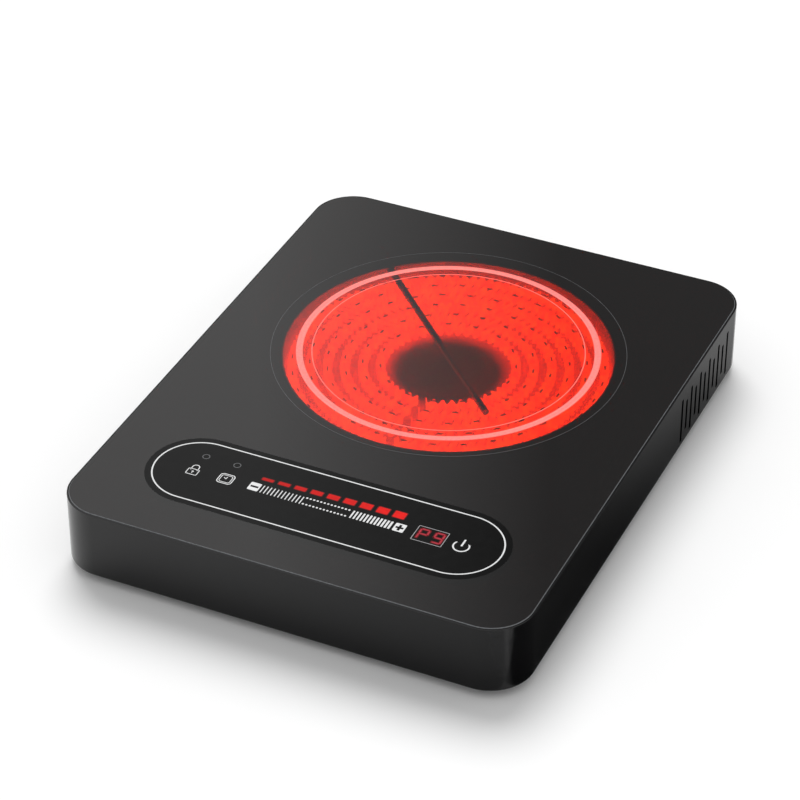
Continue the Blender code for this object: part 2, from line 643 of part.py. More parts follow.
# ---- Fan ------------------------------------------------------------------------------------------------
def make_fan_frame():
    """Square fan frame with a round duct, and a bearing tube on four struts."""
    bm = rounded_slab(FAN_SIZE, FAN_SIZE, 0.003, FAN_BOTTOM, FAN_TOP)
    frame = part(bm, "fan_frame", "black_moulding", (FAN_X, FAN_Y, 0))
    duct = bmesh.new()
    add_cylinder(duct, DUCT_RADIUS, FAN_BOTTOM - PAST, FAN_TOP + PAST, FAN_X, FAN_Y, FAN_SEGMENTS)
    combine(frame, duct, "duct", "DIFFERENCE")
    for k in range(FAN_STRUTS // 2):
        strut = bmesh.new()
        turn = Matrix.Rotation(math.pi / 4 + k * math.pi / 2, 4, "Z")
        size = (2 * DUCT_RADIUS + 0.002, FAN_STRUT_WIDTH, FAN_SEAT_THICKNESS)
        add_box(strut, size, (FAN_X, FAN_Y, FAN_TOP - FAN_SEAT_THICKNESS / 2), turn)
        combine(frame, strut, f"strut_{k + 1}", "UNION")
    seat = bmesh.new()
    add_cylinder(seat, FAN_SEAT_RADIUS, FAN_TOP - FAN_SEAT_THICKNESS, FAN_TOP, FAN_X, FAN_Y, 24)
    combine(frame, seat, "bearing_seat", "UNION")
    tube = bmesh.new()
    tube_bottom = ROTOR_BOTTOM + 0.0035
    tube_top = FAN_TOP - FAN_SEAT_THICKNESS / 2
    add_cylinder(tube, BEARING_TUBE_RADIUS + BEARING_TUBE_WALL, tube_bottom, tube_top, FAN_X, FAN_Y, 20)
    combine(frame, tube, "bearing_tube", "UNION")
    bore = bmesh.new()
    add_cylinder(bore, BEARING_TUBE_RADIUS, tube_bottom - PAST, FAN_TOP + PAST, FAN_X, FAN_Y, 20)
    combine(frame, bore, "bearing_seat_bore", "DIFFERENCE")


def make_fan_rotor():
    """Rotor cup with pitched blades, turning about the duct's axis."""
    cup = FAN_SEAT_RADIUS
    inner = cup - ROTOR_CUP_WALL
    floor = ROTOR_BOTTOM + ROTOR_CUP_WALL
    profile = [
        (0, floor), (inner, floor), (inner, ROTOR_TOP),
        (cup, ROTOR_TOP), (cup, ROTOR_BOTTOM), (0, ROTOR_BOTTOM),
    ]
    rotor = turned("fan_rotor", profile, "black_moulding", (FAN_X, FAN_Y, 0), segments=28)
    root = cup - ROTOR_CUP_WALL * 0.8
    tip = DUCT_RADIUS - BLADE_TIP_GAP
    height = (ROTOR_BOTTOM + ROTOR_TOP) / 2
    blades = bmesh.new()
    for k in range(FAN_BLADES):
        turn = Matrix.Rotation(math.tau * k / FAN_BLADES, 4, "Z")
        centre = turn @ Vector(((root + tip) / 2, 0, height)) + Vector((FAN_X, FAN_Y, 0))
        pitched = turn @ Matrix.Rotation(BLADE_PITCH, 4, "X")
        add_box(blades, (tip - root, BLADE_CHORD, BLADE_THICKNESS), centre, pitched)
    combine(rotor, blades, "blades", "UNION")


def make_fan_core():
    """Shaft, sintered sleeve bearing and wound stator."""
    at = (FAN_X, FAN_Y, 0)
    bm = bmesh.new()
    add_cylinder(bm, SHAFT_RADIUS, ROTOR_BOTTOM + ROTOR_CUP_WALL + TOUCH_GAP, FAN_TOP - 0.0008, segments=20)
    part(bm, "fan_shaft", "steel", at, smooth=True)
    low = ROTOR_BOTTOM + 0.0040
    turned_ring("fan_bearing", BEARING_BORE_RADIUS, BEARING_RADIUS, low, FAN_TOP - 0.0006, "bronze", at, 20)
    inner = BEARING_TUBE_RADIUS + BEARING_TUBE_WALL + TOUCH_GAP
    turned_ring("fan_stator", inner, STATOR_RADIUS, low, ROTOR_TOP - TOUCH_GAP, "copper", at, 20)


# ---- Control panel --------------------------------------------------------------------------------------
def make_control_tray():
    """Tray on posts of the base, with a tab at each end, and the touch board in it."""
    width = CONTROL_BOARD[0] + 2 * (TRAY_WALL + TOUCH_GAP)
    depth = CONTROL_BOARD[1] + 2 * (TRAY_WALL + TOUCH_GAP)
    bm = bmesh.new()
    add_box(bm, (width, depth, CONTROL_TOP - TRAY_BOTTOM), (0, PANEL_Y, (CONTROL_TOP + TRAY_BOTTOM) / 2))
    tray = part(bm, "control_tray", "white_moulding")
    pocket = bmesh.new()
    height = CONTROL_TOP - TRAY_TOP_FLOOR + PAST
    size = (CONTROL_BOARD[0] + 2 * TOUCH_GAP, CONTROL_BOARD[1] + 2 * TOUCH_GAP, height)
    add_box(pocket, size, (0, PANEL_Y, TRAY_TOP_FLOOR + height / 2))
    combine(tray, pocket, "board_pocket", "DIFFERENCE")
    tabs = bmesh.new()
    start = width / 2 - TRAY_WALL / 2
    end = SIDE_POST_X + TRAY_TAB_REACH
    for side in (-1, 1):
        centre = (side * (start + end) / 2, PANEL_Y, TRAY_BOTTOM + TRAY_FLOOR / 2)
        add_box(tabs, (end - start, TRAY_TAB_WIDTH, TRAY_FLOOR), centre)
    combine(tray, tabs, "tray_tabs", "UNION")
    bm = bmesh.new()
    add_box(bm, (*CONTROL_BOARD, BOARD_THICKNESS), (0, PANEL_Y, CONTROL_TOP - BOARD_THICKNESS / 2))
    part(bm, "control_board", "board")


def make_touch_springs():
    """Coil springs that carry each key's touch signal from the board to the glass."""
    low = SENSOR_BOTTOM + COIL_WIRE
    height = SENSOR_TOP - COIL_WIRE - low
    count = COIL_TURNS * COIL_POINTS
    for key, x in TOUCH_KEYS.items():
        path = []
        for k in range(count + 1):
            angle = math.tau * k / COIL_POINTS
            path.append((x + COIL_RADIUS * math.cos(angle), PANEL_Y + COIL_RADIUS * math.sin(angle),
                         low + height * k / count))
        wire("touch_spring_" + key, path, COIL_WIRE, "steel", sides=1)


def make_light_parts():
    """Slider electrode, bar light box, digit display and the two indicator lamps."""
    middle = (SENSOR_BOTTOM + SENSOR_TOP) / 2
    height = SENSOR_TOP - SENSOR_BOTTOM
    bm = bmesh.new()
    add_box(bm, (*SLIDER, height), (0, PANEL_Y, middle))
    part(bm, "slider_electrode", "black_moulding")

    bm = bmesh.new()
    length = (BAR_COUNT - 1) * BAR_PITCH + BAR_WIDTH + 2 * BAR_BLOCK_WALL
    y = PANEL_Y + BAR_BLOCK_OFFSET
    add_box(bm, (length, BAR_BLOCK_DEPTH, height), (BAR_MIDDLE, y, middle))
    block = part(bm, "led_bar_module", "white_moulding")
    wells = bmesh.new()
    for k in range(BAR_COUNT):
        x = BAR_MIDDLE + (k - (BAR_COUNT - 1) / 2) * BAR_PITCH
        size = (BAR_WIDTH, BAR_BLOCK_DEPTH - 2 * BAR_BLOCK_WALL, height)
        add_box(wells, size, (x, y, middle + BAR_BLOCK_WALL))
    combine(block, wells, "bar_wells", "DIFFERENCE")

    bm = bmesh.new()
    add_box(bm, (*DISPLAY, height), (DISPLAY_X, PANEL_Y, middle))
    display = part(bm, "display_module", "red_lens")
    window = bmesh.new()
    opening = (DISPLAY[0] - 2 * DISPLAY_WALL, DISPLAY[1] - 2 * DISPLAY_WALL, DISPLAY_WALL * 2)
    add_box(window, opening, (DISPLAY_X, PANEL_Y, SENSOR_TOP))
    combine(display, window, "digit_window", "DIFFERENCE")

    for key, x in LAMPS.items():
        dome = LAMP_RADIUS * 0.6
        profile = [
            (0, SENSOR_TOP), (dome, SENSOR_TOP - 0.0006), (LAMP_RADIUS, SENSOR_TOP - 0.002),
            (LAMP_RADIUS, SENSOR_BOTTOM + 0.001), (LAMP_RADIUS + 0.0005, SENSOR_BOTTOM + 0.001),
            (LAMP_RADIUS + 0.0005, SENSOR_BOTTOM), (0, SENSOR_BOTTOM),
        ]
        turned(key + "_lamp", profile, "red_lens", (x, PANEL_Y + LAMP_OFFSET, 0), segments=12)


# ---- Power board ----------------------------------------------------------------------------------------
def on_power_board(name, finish, size, x_share, y_share, bevel=0.0006):
    """A boxed component that stands on the power board, placed by shares of the board's half size."""
    bm = bmesh.new()
    place = power_place(x_share, y_share)
    add_box(bm, size, (*place, PARTS_BOTTOM + size[2] / 2))
    thing = part(bm, name, finish)
    if bevel:
        edge = thing.modifiers.new("edges", "BEVEL")
        edge.width = bevel
        edge.segments = 1
    return thing


def power_place(x_share, y_share):
    return (POWER_X + x_share * POWER_BOARD[0] / 2, POWER_Y + y_share * POWER_BOARD[1] / 2)


def make_power_board():
    bm = bmesh.new()
    add_box(bm, (*POWER_BOARD, BOARD_THICKNESS), (POWER_X, POWER_Y, (POWER_BOTTOM + POWER_TOP) / 2))
    part(bm, "power_board", "board")
    sink_size = (0.046, 0.020, 0.016)
    sink = on_power_board("heatsink", "aluminium", sink_size, -0.60, -0.52, bevel=0)
    x, y = power_place(-0.60, -0.52)
    fins = bmesh.new()
    gaps = 7
    for k in range(gaps):
        offset = (k - (gaps - 1) / 2) * sink_size[0] / (gaps + 0.6)
        size = (0.0038, sink_size[1] - 0.003, sink_size[2] + PAST)
        add_box(fins, size, (x + offset, y - 0.003, PARTS_BOTTOM + sink_size[2] / 2))
    combine(sink, fins, "fin_gaps", "DIFFERENCE")
    triac_size = (0.010, 0.0045, 0.014)
    triac_y = y + sink_size[1] / 2 + TOUCH_GAP + triac_size[1] / 2
    bm = bmesh.new()
    add_box(bm, triac_size, (x, triac_y, PARTS_BOTTOM + triac_size[2] / 2))
    part(bm, "triac", "black_moulding")
    on_power_board("relay", "blue_moulding", (0.028, 0.0125, 0.0155), 0.42, 0.55)
    on_power_board("filter_capacitor", "yellow_moulding", (0.026, 0.010, 0.0155), -0.02, 0.55)
    on_power_board("supply_transformer", "black_moulding", (0.022, 0.019, 0.0155), 0.10, -0.45)
    choke_at = (*power_place(0.72, -0.45), PARTS_BOTTOM)
    turned_ring("line_choke", 0.005, 0.011, 0.0, 0.009, "copper", choke_at, 20)
    can = [
        (0, 0.0085), (0.001, 0.0085), (0.001, 0.0095), (0.0058, 0.0095),
        (0.006, 0.009), (0.006, 0), (0, 0),
    ]
    turned("buzzer", can, "black_moulding", (*power_place(0.42, -0.45), PARTS_BOTTOM), segments=20)


def make_control_cable():
    """Flat cable from the touch board over the tray's wall and down to the power board."""
    thickness = 0.0006
    level = SENSOR_BOTTOM + thickness / 2
    end = PARTS_BOTTOM + thickness / 2
    front = PANEL_Y + CONTROL_BOARD[1] / 2
    drop = front + TRAY_WALL + 0.005
    x = TERMINAL_TAB_SPACING / 2 + CABLE_FROM_TAB
    path = [
        (x, front - 0.005, level), (x, drop - 0.003, level), (x, drop - 0.001, level - 0.001),
        (x, drop, level - 0.003), (x, drop, end + 0.003), (x, drop + 0.001, end + 0.001),
        (x, drop + 0.003, end), (x, drop + 0.009, end),
    ]
    sheet_strip("control_cable", path, (0.014, 0, 0), thickness, "grey_cable")


# ---- Mains inlet and wiring -----------------------------------------------------------------------------
def make_gland():
    """Rubber bush in the rear wall that the mains lead passes through, flush outside."""
    outside = BODY_DEPTH / 2 - 0.0002
    flange = TOUCH_GAP + WALL - 0.0002
    lead_in = 0.0005
    profile = [
        (GLAND_BORE_RADIUS, -lead_in), (GLAND_BORE_RADIUS + lead_in, 0.0), (GLAND_RADIUS, 0.0),
        (GLAND_RADIUS, -flange), (GLAND_FLANGE_RADIUS, -flange),
        (GLAND_FLANGE_RADIUS, -flange - GLAND_FLANGE), (GLAND_RADIUS, -flange - GLAND_FLANGE),
        (GLAND_RADIUS - 0.0012, -GLAND_LENGTH), (GLAND_BORE_RADIUS, -GLAND_LENGTH),
    ]
    gland = turned("cord_gland", profile, "rubber", (GLAND_X, outside, GLAND_HEIGHT), 24, closed=True)
    gland.rotation_euler = (-math.pi / 2, 0, 0)


def make_terminal_block():
    """Screw terminals where the mains lead's cores end."""
    size = TERMINAL_BLOCK
    z = BASE_TOP + TOUCH_GAP + size[2] / 2
    bm = bmesh.new()
    add_box(bm, size, (GLAND_X, BLOCK_Y, z))
    block = part(bm, "terminal_block", "white_moulding")
    wells = bmesh.new()
    for k in range(TERMINAL_WAYS):
        x = GLAND_X + (k - (TERMINAL_WAYS - 1) / 2) * size[0] / TERMINAL_WAYS
        add_cylinder(wells, 0.0028, z, z + size[2], x, BLOCK_Y, 12)
    combine(block, wells, "terminal_wells", "DIFFERENCE")


def make_wires():
    """Mains wires round the heater's right side, and the heater's two leads."""
    level = BASE_TOP + TOUCH_GAP + WIRE_RADIUS + 0.001
    side = BODY_WIDTH / 2 - WALL - 0.007
    block_front = BLOCK_Y - TERMINAL_BLOCK[1] / 2 - 3 * TOUCH_GAP
    board_rear = POWER_Y + POWER_BOARD[1] / 2 - 0.003
    end_z = PARTS_BOTTOM + WIRE_RADIUS
    for k, (name, finish) in enumerate((("live", "brown_wire"), ("neutral", "blue_wire"))):
        shift = k * 0.004
        board_x = POWER_X + 0.86 * POWER_BOARD[0] / 2 - shift
        route = [
            (GLAND_X + 0.006 - 2 * shift, block_front, level + 0.004),
            (GLAND_X + 0.012 - 2 * shift, block_front - 0.014, level),
            (side - shift, block_front - 0.045, level), (side - shift, HEATER_Y, level),
            (side - shift, HEATER_Y - 0.055, level), (board_x + 0.004, board_rear + 0.022, level),
            (board_x, board_rear + 0.007, end_z - 0.0005), (board_x, board_rear - 0.004, end_z),
        ]
        wire("mains_wire_" + name, smooth_path(route, 3), WIRE_RADIUS, finish)
    tab_y = HEATER_Y - DISH_RADIUS - TOUCH_GAP - TERMINAL_BODY[1] - 0.0035 - TERMINAL_TAB[1] / 2
    tab_z = DISH_BOTTOM + HEATER_DEPTH / 3
    lead_end = POWER_Y + POWER_BOARD[1] / 2 - HEATER_LEAD_ON_BOARD
    reach = tab_y - lead_end
    for k, side_sign in enumerate((-1, 1)):
        x = side_sign * TERMINAL_TAB_SPACING / 2
        board_x = x + side_sign * 0.002
        route = [
            (x, tab_y - TOUCH_GAP, tab_z), (x, tab_y - 0.27 * reach, tab_z - 0.001),
            (board_x, tab_y - 0.47 * reach, (tab_z + end_z) / 2),
            (board_x, tab_y - 0.67 * reach, end_z + 0.001), (board_x, lead_end, end_z),
        ]
        wire(f"heater_wire_{k + 1}", smooth_path(route, 3), WIRE_RADIUS, "white_wire")


make_housing()
make_glass()
make_base()
make_feet()
make_base_screws()
make_heater_pan()
make_ribbons()
make_limiter()
make_heater_terminal()
make_heater_springs()
make_fan_frame()
make_fan_rotor()
make_fan_core()
make_control_tray()
make_touch_springs()
make_light_parts()
make_power_board()
make_control_cable()
make_gland()
make_terminal_block()
make_wires()
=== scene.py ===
import math

import bmesh
import bpy
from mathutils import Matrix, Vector


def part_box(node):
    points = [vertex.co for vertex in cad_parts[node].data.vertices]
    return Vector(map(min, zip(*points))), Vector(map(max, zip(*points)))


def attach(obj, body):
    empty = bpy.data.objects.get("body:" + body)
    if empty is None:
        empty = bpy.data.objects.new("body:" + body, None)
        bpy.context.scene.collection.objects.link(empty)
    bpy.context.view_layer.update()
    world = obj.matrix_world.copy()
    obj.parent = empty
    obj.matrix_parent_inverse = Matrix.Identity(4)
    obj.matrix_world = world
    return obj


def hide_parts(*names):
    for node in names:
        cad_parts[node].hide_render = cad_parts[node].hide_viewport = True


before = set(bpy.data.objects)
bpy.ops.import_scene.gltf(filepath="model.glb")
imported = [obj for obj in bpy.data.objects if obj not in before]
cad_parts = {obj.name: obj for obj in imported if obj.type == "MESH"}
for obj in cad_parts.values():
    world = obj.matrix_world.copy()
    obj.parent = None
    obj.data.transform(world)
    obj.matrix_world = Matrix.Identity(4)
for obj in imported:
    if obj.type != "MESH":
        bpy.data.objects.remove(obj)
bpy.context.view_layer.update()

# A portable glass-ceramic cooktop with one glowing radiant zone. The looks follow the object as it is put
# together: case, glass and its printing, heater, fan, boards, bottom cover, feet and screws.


# ---- Camera ------------------------------------------------
# A long lens about 1.8 m away, to the user's right of the front edge and looking down on the glass.
# Its height is measured from the glass, so it follows the cooktop if the case changes.
MM = 0.001
GLASS_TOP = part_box("glass_top")[1].z
CAMERA_PLACE = (595.4 * MM, -1317.9 * MM, GLASS_TOP + 1034.1 * MM)
CAMERA_DOWN = 35.73      # degrees below level
CAMERA_TURN = 24.68      # degrees from straight ahead

camera = bpy.data.objects.new("camera", bpy.data.cameras.new("camera"))
camera.data.lens = 137.95
camera.data.sensor_width = 36.0
camera.location = CAMERA_PLACE
camera.rotation_euler = (math.radians(90 - CAMERA_DOWN), 0, math.radians(CAMERA_TURN))
bpy.context.scene.collection.objects.link(camera)
bpy.context.scene.camera = camera


# ---- Case --------------------------------------------------
# One injection moulding in black ABS from a polished tool: four upright walls with a ledge inside their top
# that carries the glass, screw bosses in the corners, and cooling slots at the rear of both side walls.
BODY = "cooktop_body"
CASE_LOW, CASE_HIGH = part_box("housing")
CASE_CORNER = 25.8 * MM
CASE_WALL = 2.2 * MM
CASE_LIP = 0.8 * MM
CASE_FOOT_ROUND = 1.6 * MM
CASE_LIP_ROUND = 0.35 * MM
LEDGE_WIDTH = 12 * MM
LEDGE_THICKNESS = 2 * MM
LEDGE_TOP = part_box("glass_seal")[0].z - 0.3 * MM
LEDGE_BOTTOM = LEDGE_TOP - LEDGE_THICKNESS
SLOT_COUNT = 11
SLOT_PITCH = 7.7 * MM
SLOT_WIDTH = 3.0 * MM
SLOT_LONG = 30.3 * MM
SLOT_SHORT = 20.6 * MM
SLOT_Z = GLASS_TOP - 23.8 * MM
FIRST_SLOT_Y = CASE_HIGH.y - 36 * MM
SLOT_RELIEF = 1.1 * MM   # the wall is thinned this much behind the slots
RELIEF_MARGIN = 3 * MM   # the thinned field is this much taller than a long slot
BOSS_INSET = 14 * MM
BOSS_RADIUS = 4.5 * MM
BOSS_BOTTOM = CASE_LOW.z + 2.3 * MM
SCREW_HOLE_RADIUS = 1.7 * MM
SCREW_HOLE_DEPTH = 14 * MM
GLAND_HOLE_RADIUS = 7.3 * MM
PAST = 2 * MM            # how far a cutting shape runs past the face that it opens


def colour(code):
    """A linear colour from an sRGB hex code."""
    parts = [int(code[k:k + 2], 16) / 255 for k in (1, 3, 5)]
    return tuple(p / 12.92 if p <= 0.04045 else ((p + 0.055) / 1.055) ** 2.4 for p in parts) + (1.0,)


def add(tree, kind, sockets=(), **settings):
    """A node with its settings; a socket's value is a number, a colour or the output that it reads."""
    node = tree.nodes.new(kind)
    for name, value in settings.items():
        setattr(node, name, value)
    for name, value in dict(sockets).items():
        if isinstance(value, bpy.types.NodeSocket):
            tree.links.new(value, node.inputs[name])
        else:
            node.inputs[name].default_value = value
    return node


def spots(size, detail=3.0, stretch=(1, 1, 1)):
    """A pattern of soft spots about this size in metres, drawn out into lines where stretch is small."""
    def drawn(tree, place):
        turned = add(tree, "ShaderNodeMapping", {"Vector": place, "Scale": stretch})
        sockets = {"Vector": turned.outputs[0], "Scale": 1 / size, "Detail": detail, "Roughness": 0.55}
        return add(tree, "ShaderNodeTexNoise", sockets).outputs["Fac"]
    return drawn


def finish(name, sockets=(), colours=None, glow=None, roughness=None, relief=None):
    """A material with one shader, and patterns that vary it.

    colours and glow are (pattern, hex, hex), with the pattern's ends if they aren't the middle third;
    roughness is (pattern, low, high), and relief is (pattern, depth in metres).
    """
    material = bpy.data.materials.new(name)
    material.use_nodes = True
    tree = material.node_tree
    shader = tree.nodes["Principled BSDF"]
    for socket, value in dict(sockets).items():
        shader.inputs[socket].default_value = value
    place = tree.nodes.new("ShaderNodeTexCoord").outputs["Object"]
    for socket, shades in (("Base Color", colours), ("Emission Color", glow)):
        if shades:
            pattern, dark, light, *ends = shades
            ramp = add(tree, "ShaderNodeValToRGB", {"Fac": pattern(tree, place)})
            for element, end, code in zip(ramp.color_ramp.elements, ends or (0.35, 0.65), (dark, light)):
                element.position = end
                element.color = colour(code)
            tree.links.new(ramp.outputs["Color"], shader.inputs[socket])
    if roughness:
        pattern, low, high = roughness
        ends = {"From Min": 0.3, "From Max": 0.7, "To Min": low, "To Max": high}
        spread = add(tree, "ShaderNodeMapRange", {"Value": pattern(tree, place), **ends})
        tree.links.new(spread.outputs["Result"], shader.inputs["Roughness"])
    if relief:
        pattern, depth = relief
        bump = add(tree, "ShaderNodeBump", {"Height": pattern(tree, place), "Distance": depth})
        tree.links.new(bump.outputs["Normal"], shader.inputs["Normal"])
    return material


def only(piece):
    bpy.ops.object.select_all(action="DESELECT")
    piece.select_set(True)
    bpy.context.view_layer.objects.active = piece


def named(name):
    """The primitive just added, under its own name, with its place put in its mesh."""
    piece = bpy.context.object
    piece.name = name
    piece.data.name = name
    bpy.ops.object.transform_apply(location=True, rotation=True, scale=True)
    return piece


def pick(piece, kind, test):
    """Opens the piece for editing, with only the vertices, edges or faces that pass the test selected."""
    if bpy.context.mode != "OBJECT":
        bpy.ops.object.mode_set(mode="OBJECT")
    only(piece)
    bpy.ops.object.mode_set(mode="EDIT")
    bpy.ops.mesh.select_mode(type=kind)
    bpy.ops.mesh.select_all(action="DESELECT")
    shape = bmesh.from_edit_mesh(piece.data)
    for item in {"VERT": shape.verts, "EDGE": shape.edges, "FACE": shape.faces}[kind]:
        if test(item):
            item.select_set(True)
    bmesh.update_edit_mesh(piece.data)


def close():
    bpy.ops.object.mode_set(mode="OBJECT")


def apply(piece, kind, **settings):
    """Adds a modifier with its settings and applies it."""
    only(piece)
    modifier = piece.modifiers.new(kind.lower(), kind)
    for name, value in settings.items():
        setattr(modifier, name, value)
    bpy.ops.object.modifier_apply(modifier=modifier.name)


def carve(piece, tool, operation="DIFFERENCE"):
    """Cuts the tool from the piece, or joins it on, and removes the tool."""
    apply(piece, "BOOLEAN", object=tool, operation=operation, solver="EXACT")
    bpy.data.objects.remove(tool)


def round_edges(piece, radius, steps, test):
    """Rounds the edges that pass the test."""
    pick(piece, "EDGE", test)
    bpy.ops.mesh.bevel(offset=radius, segments=steps, affect="EDGES")
    close()


def round_rim(piece, height, radius, steps):
    """Rounds the outline's edge at this height."""
    round_edges(piece, radius, steps, lambda edge: all(abs(v.co.z - height) < 1e-6 for v in edge.verts))


def block(name, size, place, turn=0.0):
    """A block of this size about its place, turned about its own upright axis."""
    bpy.ops.mesh.primitive_cube_add(size=1, location=place, rotation=(0, 0, turn), scale=size)
    return named(name)


def slab(name, half_x, half_y, corner, low, high):
    """A slab with round upright edges about the middle of the cooktop."""
    piece = block(name, (2 * half_x, 2 * half_y, high - low), (0, 0, (low + high) / 2))
    half = (high - low) / 2
    round_edges(piece, corner, 24, lambda edge: abs(edge.verts[0].co.z - edge.verts[1].co.z) > half)
    return piece


def case_slab(name, inset, low, high):
    """The case's outline moved in all round."""
    return slab(name, CASE_HIGH.x - inset, CASE_HIGH.y - inset, CASE_CORNER - inset, low, high)


def slot_tool(place, size, through, corner, steps):
    """A cutting tool for a slot through a wall along one axis, with its four corners rounded."""
    tool = block("slot", size, place)

    def runs_through(edge):
        start, end = edge.verts
        return abs(start.co[through] - end.co[through]) > size[through] / 2

    round_edges(tool, corner, steps, runs_through)
    return tool


def post(x, y, radius, low, high, sides=32):
    """An upright round post."""
    sockets = {"vertices": sides, "radius": radius, "depth": high - low}
    bpy.ops.mesh.primitive_cylinder_add(location=(x, y, (low + high) / 2), **sockets)
    return named("post")


def merge(name, pieces):
    """Joins the pieces into one object."""
    only(pieces[0])
    for piece in pieces:
        piece.select_set(True)
    bpy.ops.object.join()
    pieces[0].name = name
    pieces[0].data.name = name
    return pieces[0]


def settle(piece, materials, stands_for=(), smooth=30):
    """Gives a finished piece its materials, shading and place in the frame."""
    only(piece)
    if smooth:
        bpy.ops.object.shade_smooth_by_angle(angle=math.radians(smooth))
    piece.data.materials.clear()
    for material in materials:
        piece.data.materials.append(material)
    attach(piece, BODY)
    if stands_for:
        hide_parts(*stands_for)


def corners(inset):
    """The four points this far in from the case's sides."""
    x = CASE_HIGH.x - inset
    y = CASE_HIGH.y - inset
    return [(-x, -y), (x, -y), (-x, y), (x, y)]


# Gloss ABS: near black, with the soft, slightly uneven shine of a polished mould and a faint orange peel.
case_gloss = finish(
    "gloss_black_abs", {"IOR": 1.45, "Base Color": colour("#070708")},
    roughness=(spots(9 * MM), 0.13, 0.19), relief=(spots(1.6 * MM, detail=1.0), 0.006 * MM),
)

case = case_slab("case_shell", 0, CASE_LOW.z, CASE_HIGH.z)
round_rim(case, CASE_LOW.z, CASE_FOOT_ROUND, 6)
round_rim(case, CASE_HIGH.z, CASE_LIP_ROUND, 4)
carve(case, case_slab("pocket", CASE_LIP, LEDGE_TOP, CASE_HIGH.z + PAST))
carve(case, case_slab("window", CASE_WALL + LEDGE_WIDTH, LEDGE_BOTTOM - PAST, LEDGE_TOP + PAST))
carve(case, case_slab("hollow", CASE_WALL, CASE_LOW.z - PAST, LEDGE_BOTTOM))
for x, y in corners(BOSS_INSET):
    carve(case, post(x, y, BOSS_RADIUS, BOSS_BOTTOM, LEDGE_TOP - LEDGE_THICKNESS / 2), "UNION")
    carve(case, post(x, y, SCREW_HOLE_RADIUS, BOSS_BOTTOM - PAST, BOSS_BOTTOM + SCREW_HOLE_DEPTH, 24))
slots = []
for k in range(SLOT_COUNT):
    size = (2 * CASE_HIGH.x + 2 * PAST, SLOT_WIDTH, SLOT_LONG if k % 2 == 0 else SLOT_SHORT)
    slots.append(slot_tool((0, FIRST_SLOT_Y - k * SLOT_PITCH, SLOT_Z), size, 0, SLOT_WIDTH * 0.2, 3))
carve(case, merge("slots", slots))
middle_slot_y = FIRST_SLOT_Y - (SLOT_COUNT - 1) / 2 * SLOT_PITCH
for side in (-1, 1):
    size = (2 * SLOT_RELIEF, SLOT_COUNT * SLOT_PITCH, SLOT_LONG + RELIEF_MARGIN)
    carve(case, block("relief", size, (side * (CASE_HIGH.x - CASE_WALL), middle_slot_y, SLOT_Z)))
gland_low, gland_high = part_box("cord_gland")
gland_x = (gland_low.x + gland_high.x) / 2
gland_z = (gland_low.z + gland_high.z) / 2
bpy.ops.mesh.primitive_cylinder_add(
    vertices=48, radius=GLAND_HOLE_RADIUS, depth=3 * CASE_WALL, rotation=(math.pi / 2, 0, 0),
    location=(gland_x, CASE_HIGH.y - CASE_WALL / 2, gland_z),
)
carve(case, named("gland_hole"))
settle(case, [case_gloss], stands_for=["housing"])
apply(case, "WEIGHTED_NORMAL", keep_sharp=True)


# ---- Glass -------------------------------------------------
# A 4 mm plate of black glass-ceramic, fire-polished on both faces. Its edge is ground with a fine bevel that
# stays matt and pale.
GLASS_LOW, GLASS_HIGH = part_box("glass_top")
GLASS_CORNER = CASE_CORNER - 1.1 * MM
GLASS_BEVEL = 0.4 * MM

# Black glass-ceramic: lets only deep red through, so the plate is black except where something glows below.
glass_black = finish(
    "black_glass_ceramic", {"IOR": 1.5, "Base Color": colour("#2a0d08"), "Transmission Weight": 1.0},
    roughness=(spots(30 * MM), 0.012, 0.03), relief=(spots(14 * MM, detail=0.0), 0.004 * MM),
)

# Ground glass edge: the wheel leaves a fine frosting that looks pale grey against the black.
glass_edge = finish(
    "ground_glass_edge", {"IOR": 1.5, "Roughness": 0.42},
    colours=(spots(0.8 * MM), "#585a5c", "#727477"), relief=(spots(0.5 * MM), 0.02 * MM),
)

glass = slab("glass_plate", GLASS_HIGH.x, GLASS_HIGH.y, GLASS_CORNER, GLASS_LOW.z, GLASS_TOP)
round_rim(glass, GLASS_TOP, GLASS_BEVEL, 1)
round_rim(glass, GLASS_LOW.z, GLASS_BEVEL, 1)
settle(glass, [glass_black, glass_edge], stands_for=["glass_top"], smooth=20)
for face in glass.data.polygons:
    face.material_index = 1 if 0.3 < abs(face.normal.z) < 0.9 else 0
apply(glass, "WEIGHTED_NORMAL", keep_sharp=True)


# ---- Glass seal --------------------------------------------
# A bead of black silicone laid on the case's ledge, which holds the glass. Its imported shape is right, so it
# only gets its finish.
def dress(material, *nodes):
    """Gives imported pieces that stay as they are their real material."""
    for name in nodes:
        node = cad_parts[name]
        if node.material_slots:
            node.material_slots[0].material = material
        else:
            node.data.materials.append(material)


# Black silicone: dull, very slightly wavy where the bead was laid.
dress(finish(
    "black_silicone", {"Base Color": colour("#1a1a1b")},
    roughness=(spots(5 * MM), 0.5, 0.65), relief=(spots(3 * MM), 0.1 * MM),
), "glass_seal")


# ---- Printed panel -----------------------------------------
# The touch panel's field and its outline: ceramic inks, screen printed and fired into the top face of the
# glass as thin layers.
INK = 0.02 * MM              # a fired ink layer
INK_CLEAR = 0.01 * MM        # keeps the lowest layer off the glass
PANEL_X = 0.0
PANEL_Y = CASE_LOW.y + 60.8 * MM
PANEL_LENGTH = 211.2 * MM
PANEL_WIDTH = 53.1 * MM
PANEL_LINE = 0.85 * MM
FIELD_LENGTH = PANEL_LENGTH + 7.6 * MM
FIELD_WIDTH = PANEL_WIDTH + 7.6 * MM
FULL_ROUND = 0.4995          # a corner this share of the width makes the end a half circle


def ink_level(level):
    """The underside of a layer of ink, counted from the glass."""
    return GLASS_TOP + level * INK + INK_CLEAR


